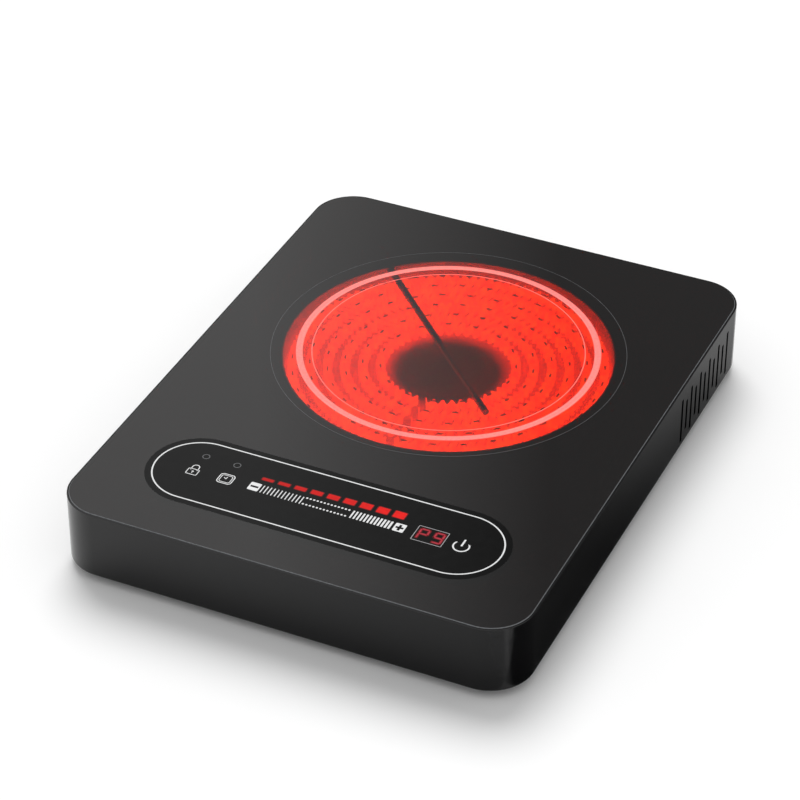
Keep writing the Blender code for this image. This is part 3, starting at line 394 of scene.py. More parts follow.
def hollow_out(piece, line):
    """Leaves a line of this width along a flat shape's outline."""
    pick(piece, "FACE", lambda face: True)
    bpy.ops.mesh.inset(thickness=line, use_even_offset=True)
    bpy.ops.mesh.delete(type="FACE")
    close()


def plate(x, y, width, depth, corner=0.0, line=0.0, level=1, steps=8, turn=0.0):
    """A printed rectangle with round corners, filled or as an outline."""
    bpy.ops.mesh.primitive_plane_add(size=1, location=(x, y, ink_level(level)), rotation=(0, 0, turn))
    bpy.context.object.scale = (width, depth, 1)
    piece = named("plate")
    if corner:
        pick(piece, "VERT", lambda vertex: True)
        bpy.ops.mesh.bevel(offset=corner, segments=steps, affect="VERTICES")
        close()
    if line:
        hollow_out(piece, line)
    apply(piece, "SOLIDIFY", thickness=INK, offset=1.0)
    return piece


def disc(x, y, radius, line=0.0, sides=48):
    """A printed dot, or a ring of this line width."""
    circle = {"vertices": sides, "radius": radius, "fill_type": "NGON"}
    bpy.ops.mesh.primitive_circle_add(location=(x, y, ink_level(1)), **circle)
    piece = named("disc")
    if line:
        hollow_out(piece, line)
    apply(piece, "SOLIDIFY", thickness=INK, offset=1.0)
    return piece


def print_on(name, shapes, ink):
    """Makes one piece of the printed shapes, in one ink."""
    settle(merge(name, shapes), [ink], smooth=0)


# Matt lacquer field: darker and duller than the bare glass, so the panel reads as a sunken pool.
lacquer = finish(
    "black_panel_lacquer", {"IOR": 1.23},
    colours=(spots(6 * MM), "#050505", "#090909"), roughness=(spots(2 * MM), 0.06, 0.10),
)

# White ceramic ink: fired enamel with a slightly uneven deposit from the screen's mesh, drawn at 0.5 mm.
white_ink = finish(
    "white_ceramic_ink", {"IOR": 1.5, "Roughness": 0.35}, colours=(spots(0.5 * MM), "#d4d5d6", "#eff0f0"),
)

field = plate(PANEL_X, PANEL_Y, FIELD_LENGTH, FIELD_WIDTH, FIELD_WIDTH * FULL_ROUND, level=0, steps=32)
print_on("panel_field", [field], lacquer)
outline = plate(PANEL_X, PANEL_Y, PANEL_LENGTH, PANEL_WIDTH, PANEL_WIDTH * FULL_ROUND, PANEL_LINE, steps=40)
print_on("panel_outline", [outline], white_ink)


# ---- Key symbols -------------------------------------------
# White marks over the touch springs: a padlock with a keyhole, a clock in a double frame, minus and plus in
# filled squares, and a power ring. Each sits on its key's middle.
LINE = 0.55 * MM
LOCK_X, LOCK_Y = -81.7 * MM, PANEL_Y - 2.3 * MM
LOCK_BODY = (7.0 * MM, 5.5 * MM)
SHACKLE = (4.6 * MM, 5.9 * MM)
SHACKLE_FOOT = 2.4 * MM      # above the padlock's middle
CLOCK_X, CLOCK_Y = -61.6 * MM, PANEL_Y - 0.5 * MM
CLOCK_FRAME = (9.3 * MM, 8.9 * MM)
CLOCK_FACE = (7.0 * MM, 6.6 * MM)
SIGN_Y = PANEL_Y - 0.2 * MM
MINUS_X, PLUS_X = -43.9 * MM, 44.8 * MM
SIGN_FIELD = (6.5 * MM, 7.1 * MM)
SIGN_LINE = 1.5 * MM
POWER_X, POWER_Y = 82.0 * MM, PANEL_Y - 1.0 * MM
POWER_RADIUS = 4.95 * MM

marks = [plate(LOCK_X, LOCK_Y, *LOCK_BODY, 0.9 * MM, LINE * 0.85)]
shackle = plate(LOCK_X, LOCK_Y + 3.7 * MM, *SHACKLE, 2.2 * MM, LINE)
pick(shackle, "VERT", lambda vertex: vertex.co.y < LOCK_Y + SHACKLE_FOOT)
bpy.ops.mesh.delete(type="VERT")
pick(shackle, "EDGE", lambda edge: edge.is_boundary)
bpy.ops.mesh.extrude_region_move(TRANSFORM_OT_translate={"value": (0, -1.1 * MM, 0)})
close()
marks.append(shackle)
marks.append(disc(LOCK_X, LOCK_Y + 0.3 * MM, 0.62 * MM, sides=20))
marks.append(plate(LOCK_X, LOCK_Y - 0.6 * MM, 0.5 * MM, 1.3 * MM))
marks.append(plate(CLOCK_X, CLOCK_Y, *CLOCK_FRAME, 2.2 * MM, LINE))
marks.append(plate(CLOCK_X, CLOCK_Y, *CLOCK_FACE, 1.5 * MM, LINE * 0.8))
marks.append(plate(CLOCK_X + 0.1 * MM, CLOCK_Y + 0.9 * MM, 0.5 * MM, 2.2 * MM))
marks.append(plate(CLOCK_X - 0.7 * MM, CLOCK_Y + 0.4 * MM, 2.0 * MM, 0.5 * MM, turn=math.radians(-35)))
for x in (MINUS_X, PLUS_X):
    marks.append(plate(x, SIGN_Y, *SIGN_FIELD, 0.7 * MM))
power = disc(POWER_X, POWER_Y, POWER_RADIUS, 0.9 * MM, sides=64)
pick(power, "VERT", lambda vertex: vertex.co.y > POWER_Y + 3.1 * MM)
bpy.ops.mesh.delete(type="VERT")
pick(power, "EDGE", lambda edge: edge.is_boundary)
bpy.ops.mesh.edge_face_add()
close()
marks.append(power)
marks.append(plate(POWER_X, POWER_Y + 3.1 * MM, 1.05 * MM, 6.1 * MM))
print_on("key_symbols", marks, white_ink)

signs = [plate(x, SIGN_Y, 4.7 * MM, SIGN_LINE, level=2) for x in (MINUS_X, PLUS_X)]
signs.append(plate(PLUS_X, SIGN_Y, SIGN_LINE, 5.1 * MM, level=2.2))
print_on("sign_bars", signs, lacquer)


# ---- Slider scale ------------------------------------------
# White marks over the slider's electrode: twelve thin ticks, two rows of dots, then twelve ticks that grow
# bolder towards the plus.
TICK_COUNT = 12
TICK_HEIGHT = 6.6 * MM
TICK_WIDTH = 0.62 * MM
THIN_FIRST, THIN_PITCH = -38.9 * MM, 2.2 * MM
BOLD_FIRST, BOLD_PITCH = 16.2 * MM, 2.1 * MM
DOT_COUNT = 13
DOT_FIRST, DOT_PITCH = -12.6 * MM, 2.15 * MM
DOT_RADIUS = 0.66 * MM

scale = []
for k in range(TICK_COUNT):
    scale.append(plate(THIN_FIRST + k * THIN_PITCH, PANEL_Y - 0.4 * MM, TICK_WIDTH, TICK_HEIGHT))
    bold = (0.95 + 0.03 * k) * MM
    scale.append(plate(BOLD_FIRST + k * BOLD_PITCH, SIGN_Y, bold, TICK_HEIGHT + 0.2 * MM))
for k in range(DOT_COUNT):
    for row_y in (2.6 * MM, -3.0 * MM):
        scale.append(disc(DOT_FIRST + k * DOT_PITCH, PANEL_Y + row_y, DOT_RADIUS, sides=14))
print_on("slider_scale", scale, white_ink)


# ---- Display frame and lamp rings --------------------------
# Quiet marks round the parts that light up: a fine silvery line round the two digits, and a grey ring round
# each of the two indicator lamps.
DISPLAY_X, DISPLAY_Y = 63.05 * MM, PANEL_Y
DISPLAY_FRAME = (18.3 * MM, 13.2 * MM)
LAMP_XS = (-81.1 * MM, -61.5 * MM)
LAMP_Y = PANEL_Y + 13.3 * MM

# Silvery and grey ceramic inks: the white enamel, thinned, for the marks that stay in the background.
silver_ink = finish(
    "silver_grey_ceramic_ink", {"IOR": 1.5, "Roughness": 0.4},
    colours=(spots(0.5 * MM), "#8f8e90", "#a9a8aa"),
)
grey_ink = finish(
    "grey_ceramic_ink", {"IOR": 1.5, "Roughness": 0.4}, colours=(spots(0.5 * MM), "#4c4d4f", "#626365"),
)

print_on("display_frame", [plate(DISPLAY_X, DISPLAY_Y, *DISPLAY_FRAME, 0.6 * MM, 0.45 * MM)], silver_ink)
print_on("lamp_rings", [disc(x, LAMP_Y, 2.25 * MM, 0.5 * MM) for x in LAMP_XS], grey_ink)


# ---- Zone marks --------------------------------------------
# Rings round the heater's middle: a fine grey circle printed outside the glow, a broad pale band printed
# inside its edge, and a fine pale ring inside the band that is a painted highlight laid on like print.
HEATER_LOW, HEATER_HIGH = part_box("insulation_bed")
ZONE_X = (HEATER_LOW.x + HEATER_HIGH.x) / 2
ZONE_Y = (HEATER_LOW.y + HEATER_HIGH.y) / 2
CIRCLE_RADIUS, CIRCLE_LINE = 105.4 * MM, 0.25 * MM
BAND_RADIUS, BAND_LINE = 90.2 * MM, 4.0 * MM
PAINTED_HIGHLIGHT_RADIUS, PAINTED_HIGHLIGHT_LINE = 81.0 * MM, 0.5 * MM

# Pale ink: a screened white, given a pink colour and a painted glow that stand in for the heater's glow
# showing through it.
pale_ink_painted_glow = finish(
    "pale_ink_with_painted_glow", {"IOR": 1.5, "Roughness": 0.4, "Emission Strength": 0.45},
    colours=(spots(1.2 * MM), "#d8706a", "#e0807a"), glow=(spots(1.2 * MM), "#e0605a", "#ea6a62"),
)

print_on("zone_circle", [disc(ZONE_X, ZONE_Y, CIRCLE_RADIUS, CIRCLE_LINE, sides=256)], grey_ink)
bands = [disc(ZONE_X, ZONE_Y, BAND_RADIUS, BAND_LINE, sides=256)]
# The fine pale ring is a painted highlight, drawn as a thin ring of the pale ink.
bands.append(disc(ZONE_X, ZONE_Y, PAINTED_HIGHLIGHT_RADIUS, PAINTED_HIGHLIGHT_LINE, sides=256))
print_on("zone_bands", bands, pale_ink_painted_glow)


# ---- Level bars and digits ---------------------------------
# Windows left clear in the print, with red light-emitting diodes under them: nine level bars that grow from
# left to right, a two-digit seven-segment display, and the stray light in the film round every window.
BAR_COUNT = 9
BAR_PITCH = 10.0 * MM
BAR_WIDTH = 6.9 * MM
BAR_FIRST = -39.7 * MM
BAR_BOTTOM = PANEL_Y + 7.3 * MM
BAR_LOW, BAR_HIGH = 2.1 * MM, 5.7 * MM
BLEED = 0.55 * MM            # how far stray light shows round a lit window
SEGMENT = 0.95 * MM
SEGMENT_GAP = 0.25 * MM
DIGIT_WIDTH = 5.8 * MM
DIGIT_HEIGHT = 9.4 * MM
DIGITS = (("P", 58.8 * MM), ("9", 67.9 * MM))
SEGMENTS_LIT = {"P": "abefg", "9": "abcdfg"}


def lit_material(name, edge, core, strength):
    """Red diode light through a diffusing window, a little uneven from the diodes behind it."""
    sockets = {"IOR": 1.25, "Roughness": 0.35, "Base Color": colour("#400606"), "Emission Strength": strength}
    return finish(name, sockets, glow=(spots(2.5 * MM), edge, core))


def segment_places():
    """Each segment's middle and whether it stands upright, for one digit about its own middle."""
    half = (DIGIT_HEIGHT - SEGMENT) / 4
    side = (DIGIT_WIDTH - SEGMENT) / 2
    return {
        "a": (0, 2 * half, False), "g": (0, 0, False), "d": (0, -2 * half, False),
        "f": (-side, half, True), "b": (side, half, True),
        "e": (-side, -half, True), "c": (side, -half, True),
    }


bleed = []
for k in range(BAR_COUNT):
    share = k / (BAR_COUNT - 1)
    height = BAR_LOW + (BAR_HIGH - BAR_LOW) * share
    x, y = BAR_FIRST + k * BAR_PITCH, BAR_BOTTOM + height / 2
    bleed.append(plate(x, y, BAR_WIDTH + 2 * BLEED, height + 2 * BLEED, 0.9 * MM, level=0.5, steps=4))
    bar = plate(x, y, BAR_WIDTH, height, 0.6 * MM, steps=3)
    bar_light = lit_material(f"red_diode_bar_{k + 1}", "#ee1612", "#ff1a14", 0.50 + 0.30 * share)
    settle(merge(f"level_bar_{k + 1}", [bar]), [bar_light], smooth=0)

digits = []
for digit, digit_x in DIGITS:
    for name, (x, y, upright) in segment_places().items():
        if name in SEGMENTS_LIT[digit]:
            length = ((DIGIT_HEIGHT - SEGMENT) / 2 if upright else DIGIT_WIDTH - SEGMENT) - SEGMENT_GAP
            size = (SEGMENT, length) if upright else (length, SEGMENT)
            digits.append(plate(digit_x + x, DISPLAY_Y + y, *size, SEGMENT * 0.4, steps=1))
            size = [edge + 2 * BLEED for edge in size]
            bleed.append(plate(digit_x + x, DISPLAY_Y + y, *size, 0.5 * MM, level=0.5, steps=2))
# Digit light: a dimmer, pinker red than the bars.
digit_light = lit_material("red_diode_digits", "#c03848", "#d84456", 0.66)
settle(merge("display_digits", digits), [digit_light], smooth=0)
# Stray light: a dim dark red border round every lit window.
stray_light = lit_material("stray_diode_light", "#5e0f14", "#74141a", 0.55)
settle(merge("light_bleed", bleed), [stray_light], smooth=0)


# ---- Heating ribbons ---------------------------------------
# Corrugated ribbon of iron-chrome-aluminium, on edge in six rings round the heater's middle. Each ring starts
# as a plain circle that is swung in and out, then drawn up and given its gauge. It stays open at the front.
RIBBON_RINGS = 6
RIBBON_WAVE = 5.4 * MM
RIBBON_SWING = 2.4 * MM
RIBBON_GAUGE = 0.45 * MM
RIBBON_GAP = 4.6 * MM        # between a ring's two ends, at the terminal side
POINTS_IN_WAVE = 10


def ribbon_ring(number):
    """The radius, foot and top of one packed ribbon."""
    low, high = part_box(f"heating_ribbon_{number}")
    return (high.x - low.x) / 2, low.z, high.z


# Glowing resistance ribbon: orange-red hot, and patchy along its length.
ribbon_hot = finish(
    "glowing_resistance_ribbon",
    {"Base Color": colour("#3a2a26"), "Roughness": 0.6, "Emission Strength": 60.0},
    glow=(spots(7 * MM), "#ff4c12", "#ff741c"),
)

for number in range(1, RIBBON_RINGS + 1):
    radius, foot, top = ribbon_ring(number)
    waves = round(math.tau * radius / RIBBON_WAVE)
    middle = (ZONE_X, ZONE_Y, foot)
    bpy.ops.mesh.primitive_circle_add(vertices=waves * POINTS_IN_WAVE, radius=radius, location=middle)
    ribbon = named(f"corrugated_ribbon_{number}")
    for step in range(POINTS_IN_WAVE):
        swing = RIBBON_SWING * math.sin(waves * math.pi / 2 + math.tau * step / POINTS_IN_WAVE)
        share = 1 + swing / radius
        pick(ribbon, "VERT", lambda vertex: vertex.index % POINTS_IN_WAVE == step)
        bpy.ops.transform.resize(value=(share, share, 1), center_override=middle)
    pick(ribbon, "VERT", lambda vertex: abs(vertex.co.x - ZONE_X) < RIBBON_GAP / 2 and vertex.co.y < ZONE_Y)
    bpy.ops.mesh.delete(type="VERT")
    pick(ribbon, "EDGE", lambda edge: True)
    bpy.ops.mesh.extrude_region_move(TRANSFORM_OT_translate={"value": (0, 0, top - foot)})
    close()
    apply(ribbon, "SOLIDIFY", thickness=RIBBON_GAUGE, offset=0.0)
    settle(ribbon, [ribbon_hot], stands_for=[f"heating_ribbon_{number}"], smooth=60)


# ---- Ribbon staples ----------------------------------------
# Small ceramic staples that press each ribbon into the board, evenly spaced along it from the terminal side.
# They stay darker than the ribbon that they cross.
TERMINAL_SIDE = -math.pi / 2
STAPLE = (0.9 * MM, 3.4 * MM, 0.6 * MM)
STAPLE_PITCH = 17 * MM
STAPLE_RISE = 0.3 * MM       # of a staple's middle over the ribbon's edge
STAPLE_ROUND = 0.2 * MM

# Sintered ceramic: brown and dull, with a dark red glow of its own.
staple_dark = finish(
    "sintered_ceramic_staple", {"Roughness": 0.8, "Emission Strength": 12.0},
    colours=(spots(0.8 * MM), "#5a2a20", "#7a3a2c"), glow=(spots(1.5 * MM), "#3a0c04", "#5a1406"),
)

staples = []
for number in range(1, RIBBON_RINGS + 1):
    radius, foot, top = ribbon_ring(number)
    count = round(math.tau * radius / STAPLE_PITCH)
    for k in range(count):
        angle = TERMINAL_SIDE + math.tau * (k + 0.5) / count
        place = (ZONE_X + radius * math.cos(angle), ZONE_Y + radius * math.sin(angle), top + STAPLE_RISE)
        staple = block("staple", STAPLE, place, angle)
        round_edges(staple, STAPLE_ROUND, 2, lambda edge: True)
        staples.append(staple)
settle(merge("ribbon_staples", staples), [staple_dark], smooth=40)


# ---- Insulation bed ----------------------------------------
# Microporous insulation: pressed pale powder board in the dish, with the ribbons pressed into it. Its packed
# shape is right, so only its finish is made here.
COLD_FADE = 12 * MM          # the glow dies over this width inside the innermost ribbon


def from_middle(tree, place):
    """A pattern: how far a point is from the heater's upright axis."""
    centred = add(tree, "ShaderNodeMapping", {"Vector": place, "Location": (-ZONE_X, -ZONE_Y, 0)}).outputs[0]
    flat = add(tree, "ShaderNodeVectorMath", {0: centred, 1: (1, 1, 0)}, operation="MULTIPLY").outputs[0]
    return add(tree, "ShaderNodeVectorMath", {0: flat}, operation="LENGTH").outputs["Value"]


def bed_heat_and_painted_glow(tree, place):
    """A pattern: hot under the ribbons and cold in the middle, with warmer and cooler patches; part heat,
    part painted glow.
    """
    innermost = ribbon_ring(RIBBON_RINGS)[0]
    heat = add(tree, "ShaderNodeMapRange", {
        "Value": from_middle(tree, place), "From Min": innermost - COLD_FADE, "From Max": innermost,
    }, interpolation_type="SMOOTHSTEP").outputs["Result"]
    patchy = add(tree, "ShaderNodeMapRange", {
        "Value": spots(12 * MM)(tree, place), "From Min": 0.3, "From Max": 0.7, "To Min": 0.75, "To Max": 1.1,
    }).outputs["Result"]
    return add(tree, "ShaderNodeMath", {0: heat, 1: patchy}, operation="MULTIPLY").outputs[0]


# Hot insulation board: a fibrous, matt skin that glows deep red round the ribbons and is black in the middle.
# The glow is partly the board's own heat and partly painted glow.
dress(finish(
    "insulation_board_heat_and_painted_glow",
    {"Base Color": colour("#a89c92"), "Roughness": 0.95, "Emission Strength": 27.0},
    glow=(bed_heat_and_painted_glow, "#150302", "#ff4a10", 0, 1), relief=(spots(1.5 * MM), 0.3 * MM),
), "insulation_bed")


# ---- Insulation ring ---------------------------------------
# The same board round the zone, which touches the glass. Its inner wall is lit by the ribbon beside it, less
# so towards the glass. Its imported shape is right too.
RING_WIDTH = 9.9 * MM
RING_LOW, RING_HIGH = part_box("insulation_ring")
RING_OPENING = RING_HIGH.x - ZONE_X - RING_WIDTH


def painted_wall_light(tree, place):
    """A pattern: painted red light from the ribbon as a thin skin on the ring's inner wall, fading towards
    the glass.
    """
    wall = add(tree, "ShaderNodeMapRange", {
        "Value": from_middle(tree, place), "From Min": RING_OPENING + 0.2 * MM,
        "From Max": RING_OPENING + 0.8 * MM, "To Min": 1.0, "To Max": 0.0,
    }).outputs["Result"]
    height = add(tree, "ShaderNodeSeparateXYZ", {0: place}).outputs["Z"]
    low_part = add(tree, "ShaderNodeMapRange", {
        "Value": height, "From Min": RING_LOW.z, "From Max": RING_HIGH.z, "To Min": 1.0, "To Max": 0.25,
    }).outputs["Result"]
    return add(tree, "ShaderNodeMath", {0: wall, 1: low_part}, operation="MULTIPLY").outputs[0]


# Cold insulation board: pale, matt and fibrous, with the red light on its inner wall only.
dress(finish(
    "pressed_insulation_board", {"Roughness": 0.95, "Emission Strength": 14.0},
    colours=(spots(4 * MM), "#8f877e", "#aaa198"), glow=(painted_wall_light, "#000000", "#ff3c10", 0, 1),
    relief=(spots(1.0 * MM), 0.3 * MM),
), "insulation_ring")


# ---- Heater's dish, springs and limiter --------------------
# The pressed steel dish with the leaf springs under it, the limiter's quartz rod and head, and the heater's
# terminal block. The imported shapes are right.
rolling_lines = spots(0.6 * MM, detail=4.0, stretch=(0.05, 1, 1))

# Rolled steel, aluminised: bright, with fine rolling lines and a soft bloom.
dress(finish(
    "aluminised_rolled_steel", {"Metallic": 1.0}, colours=(rolling_lines, "#8d8e90", "#b4b5b7"),
    roughness=(rolling_lines, 0.28, 0.42), relief=(rolling_lines, 0.01 * MM),
), "heater_dish", "heater_spring_1", "heater_spring_2", "heater_spring_3")

# Quartz tube: milky, and warm from the glow beside it.
dress(finish(
    "milky_quartz", {"IOR": 1.46, "Roughness": 0.25}, colours=(spots(2 * MM), "#8c6a60", "#b08a7c"),
), "limiter_rod")

# Steatite ceramic: unglazed, off-white, with a fine pressed grain.
dress(finish(
    "unglazed_steatite", {"Roughness": 0.6}, colours=(spots(1.2 * MM), "#cfc9bd", "#e4dfd4"),
    relief=(spots(0.5 * MM), 0.03 * MM),
), "limiter_head", "heater_terminal")


# ---- Fan ---------------------------------------------------
# A 60 mm axial fan flat over the intake grille. Frame and rotor are moulded, the shaft runs in a bronze
# sleeve, and the stator is wound with copper wire, like the choke on the power board.
WIRE_PITCH = 0.5 * MM        # the winding's rows, drawn this far apart so that they show


def winding_rows(tree, place):
    """A pattern: even rows of round wire, one above the other."""
    sockets = {"Vector": place, "Scale": 1 / (math.tau * WIRE_PITCH)}
    return add(tree, "ShaderNodeTexWave", sockets, wave_type="BANDS", bands_direction="Z").outputs["Fac"]


# Glass-filled nylon: dull black, with the grey haze of fibres at its surface.
dress(finish(
    "black_glass_filled_nylon", {"Roughness": 0.5}, colours=(spots(1.5 * MM), "#141415", "#1e1e20"),
    relief=(spots(0.4 * MM), 0.02 * MM),
), "fan_frame", "fan_rotor")

# Ground steel: bright and even.
dress(finish(
    "ground_steel_shaft", {"Metallic": 1.0, "Roughness": 0.2},
    colours=(spots(0.3 * MM), "#a5a6a8", "#c4c5c7"),
), "fan_shaft")

# Sintered bronze: brown-gold and grainy from its pressed powder.
dress(finish(
    "sintered_bronze", {"Metallic": 1.0, "Roughness": 0.45}, colours=(spots(0.25 * MM), "#8a6a3c", "#b08c52"),
    relief=(spots(0.2 * MM), 0.02 * MM),
), "fan_bearing")

# Enamelled copper: shiny red-brown rows of round wire.
dress(finish(
    "enamelled_copper_winding", {"Metallic": 1.0, "Roughness": 0.3},
    colours=(winding_rows, "#7c3a18", "#c06a34"), relief=(winding_rows, 0.1 * MM),
), "fan_stator", "line_choke")


# ---- Circuit boards ----------------------------------------
# Glass-fibre boards with green solder mask over copper tracks. The power board stands on the bottom cover,
# and the touch board lies in a tray under the panel.
TRACK_PITCH = 6 * MM


def copper_tracks(tree, place):
    """A pattern: narrow tracks between fields of copper."""
    cells = add(tree, "ShaderNodeTexVoronoi", {"Vector": place, "Scale": 1 / TRACK_PITCH},
                feature="DISTANCE_TO_EDGE").outputs["Distance"]
    edge = {"Value": cells, "From Min": 0.06, "From Max": 0.10, "To Min": 0.7, "To Max": 0.3}
    return add(tree, "ShaderNodeMapRange", edge).outputs["Result"]


# Green solder mask: glossy lacquer, lighter and raised where it covers a track.
dress(finish(
    "green_solder_mask", {"IOR": 1.5, "Roughness": 0.3}, colours=(copper_tracks, "#0e4a24", "#1f7a3c"),
    relief=(copper_tracks, 0.035 * MM),
), "power_board", "control_board")


# ---- Moulded parts of the electronics ----------------------
# The boxed components on both boards, the trays, lenses and terminal block, and the insulated wires. All have
# the same fine spark-eroded or extruded skin, each in its own colour and shine.
def moulded(name, dark, light, roughness, *nodes):
    """Moulded thermoplastic in one colour, with a fine texture."""
    dress(finish(
        name, {"Roughness": roughness}, colours=(spots(2.5 * MM), dark, light),
        relief=(spots(0.35 * MM), 0.015 * MM),
    ), *nodes)


# Black phenolic: nearly black, with a low shine.
moulded("black_phenolic", "#121213", "#1b1b1d", 0.45, "triac", "supply_transformer", "buzzer")
# Graphite foam: dark grey and quite dull.
moulded("graphite_foam", "#1d1d1e", "#2b2b2d", 0.9, "slider_electrode")
# White nylon: milky white, half matt.
moulded("white_nylon", "#cfcfca", "#dededa", 0.5, "control_tray", "led_bar_module", "terminal_block")
# Blue and yellow polyester: the bright, fairly glossy cases of relay and capacitor.
moulded("blue_polyester_case", "#1a3f86", "#2450a0", 0.35, "relay")
moulded("yellow_polyester_case", "#c79a20", "#d8ac30", 0.35, "filter_capacitor")
# Red diffuser: deep red and glossy.
moulded("red_diffuser", "#7a0c0c", "#960f0f", 0.3, "display_module", "lock_lamp", "timer_lamp")
# Wire insulation: soft brown and blue silicone, and grey ribbon cable.
moulded("brown_silicone_wire", "#3e2416", "#4c2d1c", 0.55, "mains_wire_live")
moulded("blue_silicone_wire", "#1c3f86", "#26509c", 0.55, "mains_wire_neutral")
moulded("grey_flat_cable", "#6e6f71", "#808183", 0.5, "control_cable")


# ---- Heater leads, heatsink and touch springs --------------
# The heater's two leads in braided sleeves, the triac's extruded heatsink, and the springs that carry the
# touch of a finger from the glass to the board.
PLAIT_PITCH = 0.8 * MM       # the sleeve's plait, drawn this coarse so that it shows
drawing_lines = spots(0.4 * MM, stretch=(1, 1, 0.05))


def plait(tree, place):
    """A pattern: small checks, like crossing yarns."""
    return add(tree, "ShaderNodeTexChecker", {"Vector": place, "Scale": 1 / PLAIT_PITCH}).outputs["Fac"]


# Braided glass-fibre sleeve: off-white yarn in a fine plait.
dress(finish(
    "braided_glass_fibre_sleeve", {"Roughness": 0.85}, colours=(plait, "#e2e0d8", "#c9c7bf"),
    relief=(plait, 0.1 * MM),
), "heater_wire_1", "heater_wire_2")

# Extruded aluminium: pale, with the die's fine lines.
dress(finish(
    "extruded_aluminium", {"Metallic": 1.0}, colours=(drawing_lines, "#a2a4a6", "#c6c8ca"),
    roughness=(drawing_lines, 0.3, 0.45),
), "heatsink")

# Nickel-plated spring wire: bright, with a faintly warm tone.
dress(finish(
    "nickel_plated_spring_wire", {"Metallic": 1.0}, colours=(spots(0.5 * MM), "#a9a59c", "#c9c5bb"),
    roughness=(spots(0.5 * MM), 0.2, 0.32),
), *[f"touch_spring_{key}" for key in ("lock", "timer", "minus", "plus", "power")])


# ---- Bottom cover ------------------------------------------
# A flat tray in black polypropylene, screwed up into the case's corners. It has a round intake grille under
# the fan, a row of slots under the rear of the heater, and posts that carry the tray and the power board.
BASE_LOW, BASE_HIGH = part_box("base_cover")
BASE_TOP = BASE_LOW.z + 2 * MM
BASE_MIDDLE = (BASE_LOW.z + BASE_TOP) / 2
BASE_CORNER = CASE_CORNER - CASE_WALL - 0.3 * MM
BASE_ROUND = 0.5 * MM
FOOT_INSET = 28 * MM
FOOT_HOLE_RADIUS = 2.7 * MM
GRILLE_SLOTS = 9
GRILLE_PITCH = 5.5 * MM
GRILLE_SLOT = 2.8 * MM
GRILLE_INSET = 5 * MM        # the grille's edge inside the fan's frame
SLOT_ROUND = 0.49            # a corner this share of a slot's width makes its end nearly a half circle
REAR_SLOTS = 11
REAR_PITCH = 7 * MM
REAR_SLOT_LENGTH = 24 * MM
REAR_SLOT_Y = ZONE_Y + 78.5 * MM
CUT_HEIGHT = 6 * MM
POST_CLEAR = 0.3 * MM        # between a post's top and what it carries
TRAY_POST_RADIUS = 4 * MM
TRAY_POST_INSET = 13 * MM    # from the case's side, and from the fan
TRAY_POST_Y = 17 * MM        # of the two inner posts, to either side of the panel's middle
BOARD_POST_RADIUS = 3.5 * MM
BOARD_POST_INSET = (20 * MM, 6 * MM)

# Textured polypropylene: matt near-black with a coarse spark-eroded grain.
base_matt = finish(
    "black_textured_polypropylene", {"Roughness": 0.55}, colours=(spots(3 * MM), "#161617", "#212123"),
    relief=(spots(0.7 * MM), 0.05 * MM),
)

base = slab("bottom_cover", BASE_HIGH.x, BASE_HIGH.y, BASE_CORNER, BASE_LOW.z, BASE_TOP)
round_rim(base, BASE_LOW.z, BASE_ROUND, 2)
fan_low, fan_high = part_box("fan_frame")
fan_x, fan_y = (fan_low.x + fan_high.x) / 2, (fan_low.y + fan_high.y) / 2
grille_radius = (fan_high.x - fan_low.x) / 2 - GRILLE_INSET
openings = []
for k in range(GRILLE_SLOTS):
    offset = (k - (GRILLE_SLOTS - 1) / 2) * GRILLE_PITCH
    size = (GRILLE_SLOT, 2 * math.sqrt(grille_radius ** 2 - offset ** 2), CUT_HEIGHT)
    openings.append(slot_tool((fan_x + offset, fan_y, BASE_MIDDLE), size, 2, GRILLE_SLOT * SLOT_ROUND, 6))
for k in range(REAR_SLOTS):
    place = ((k - (REAR_SLOTS - 1) / 2) * REAR_PITCH, REAR_SLOT_Y, BASE_MIDDLE)
    size = (GRILLE_SLOT, REAR_SLOT_LENGTH, CUT_HEIGHT)
    openings.append(slot_tool(place, size, 2, GRILLE_SLOT * SLOT_ROUND, 6))
for x, y in corners(BOSS_INSET):
    openings.append(post(x, y, SCREW_HOLE_RADIUS, BASE_LOW.z - PAST, BASE_TOP + PAST, 24))
for x, y in corners(FOOT_INSET):
    openings.append(post(x, y, FOOT_HOLE_RADIUS, BASE_LOW.z - PAST, BASE_TOP + PAST, 24))
carve(base, merge("openings", openings))
tray_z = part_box("control_tray")[0].z - POST_CLEAR
side_x = CASE_HIGH.x - TRAY_POST_INSET
inner_x = fan_high.x + TRAY_POST_INSET
for x, y in ((-side_x, 0), (side_x, 0), (inner_x, -TRAY_POST_Y), (inner_x, TRAY_POST_Y)):
    carve(base, post(x, PANEL_Y + y, TRAY_POST_RADIUS, BASE_MIDDLE, tray_z), "UNION")
board_low, board_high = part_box("power_board")
inset_x, inset_y = BOARD_POST_INSET
for x in (board_low.x + inset_x, board_high.x - inset_x):
    for y in (board_low.y + inset_y, board_high.y - inset_y):
        carve(base, post(x, y, BOARD_POST_RADIUS, BASE_MIDDLE, board_low.z - POST_CLEAR), "UNION")
settle(base, [base_matt], stands_for=["base_cover"])


# ---- Feet and gland ----------------------------------------
# Four soft rubber pads, each with a stem and a barb that is pushed up through the bottom cover. The cord's
# gland is of the same rubber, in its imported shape.
PAD_TOP = 4.7 * MM
PAD_ROUND = 1.1 * MM
PAD_TOP_ROUND = 0.5 * MM
STEM_RADIUS = 2.4 * MM
STEM_CLEAR = 0.3 * MM        # the stem's length above the bottom cover
BARB_STEP = 0.02 * MM
BARB_FLARE, BARB_TIP = 1.42, 0.45
PAD_FACE = 20 * MM * MM      # the pad's flat top is larger than this, and the facets beside it are smaller

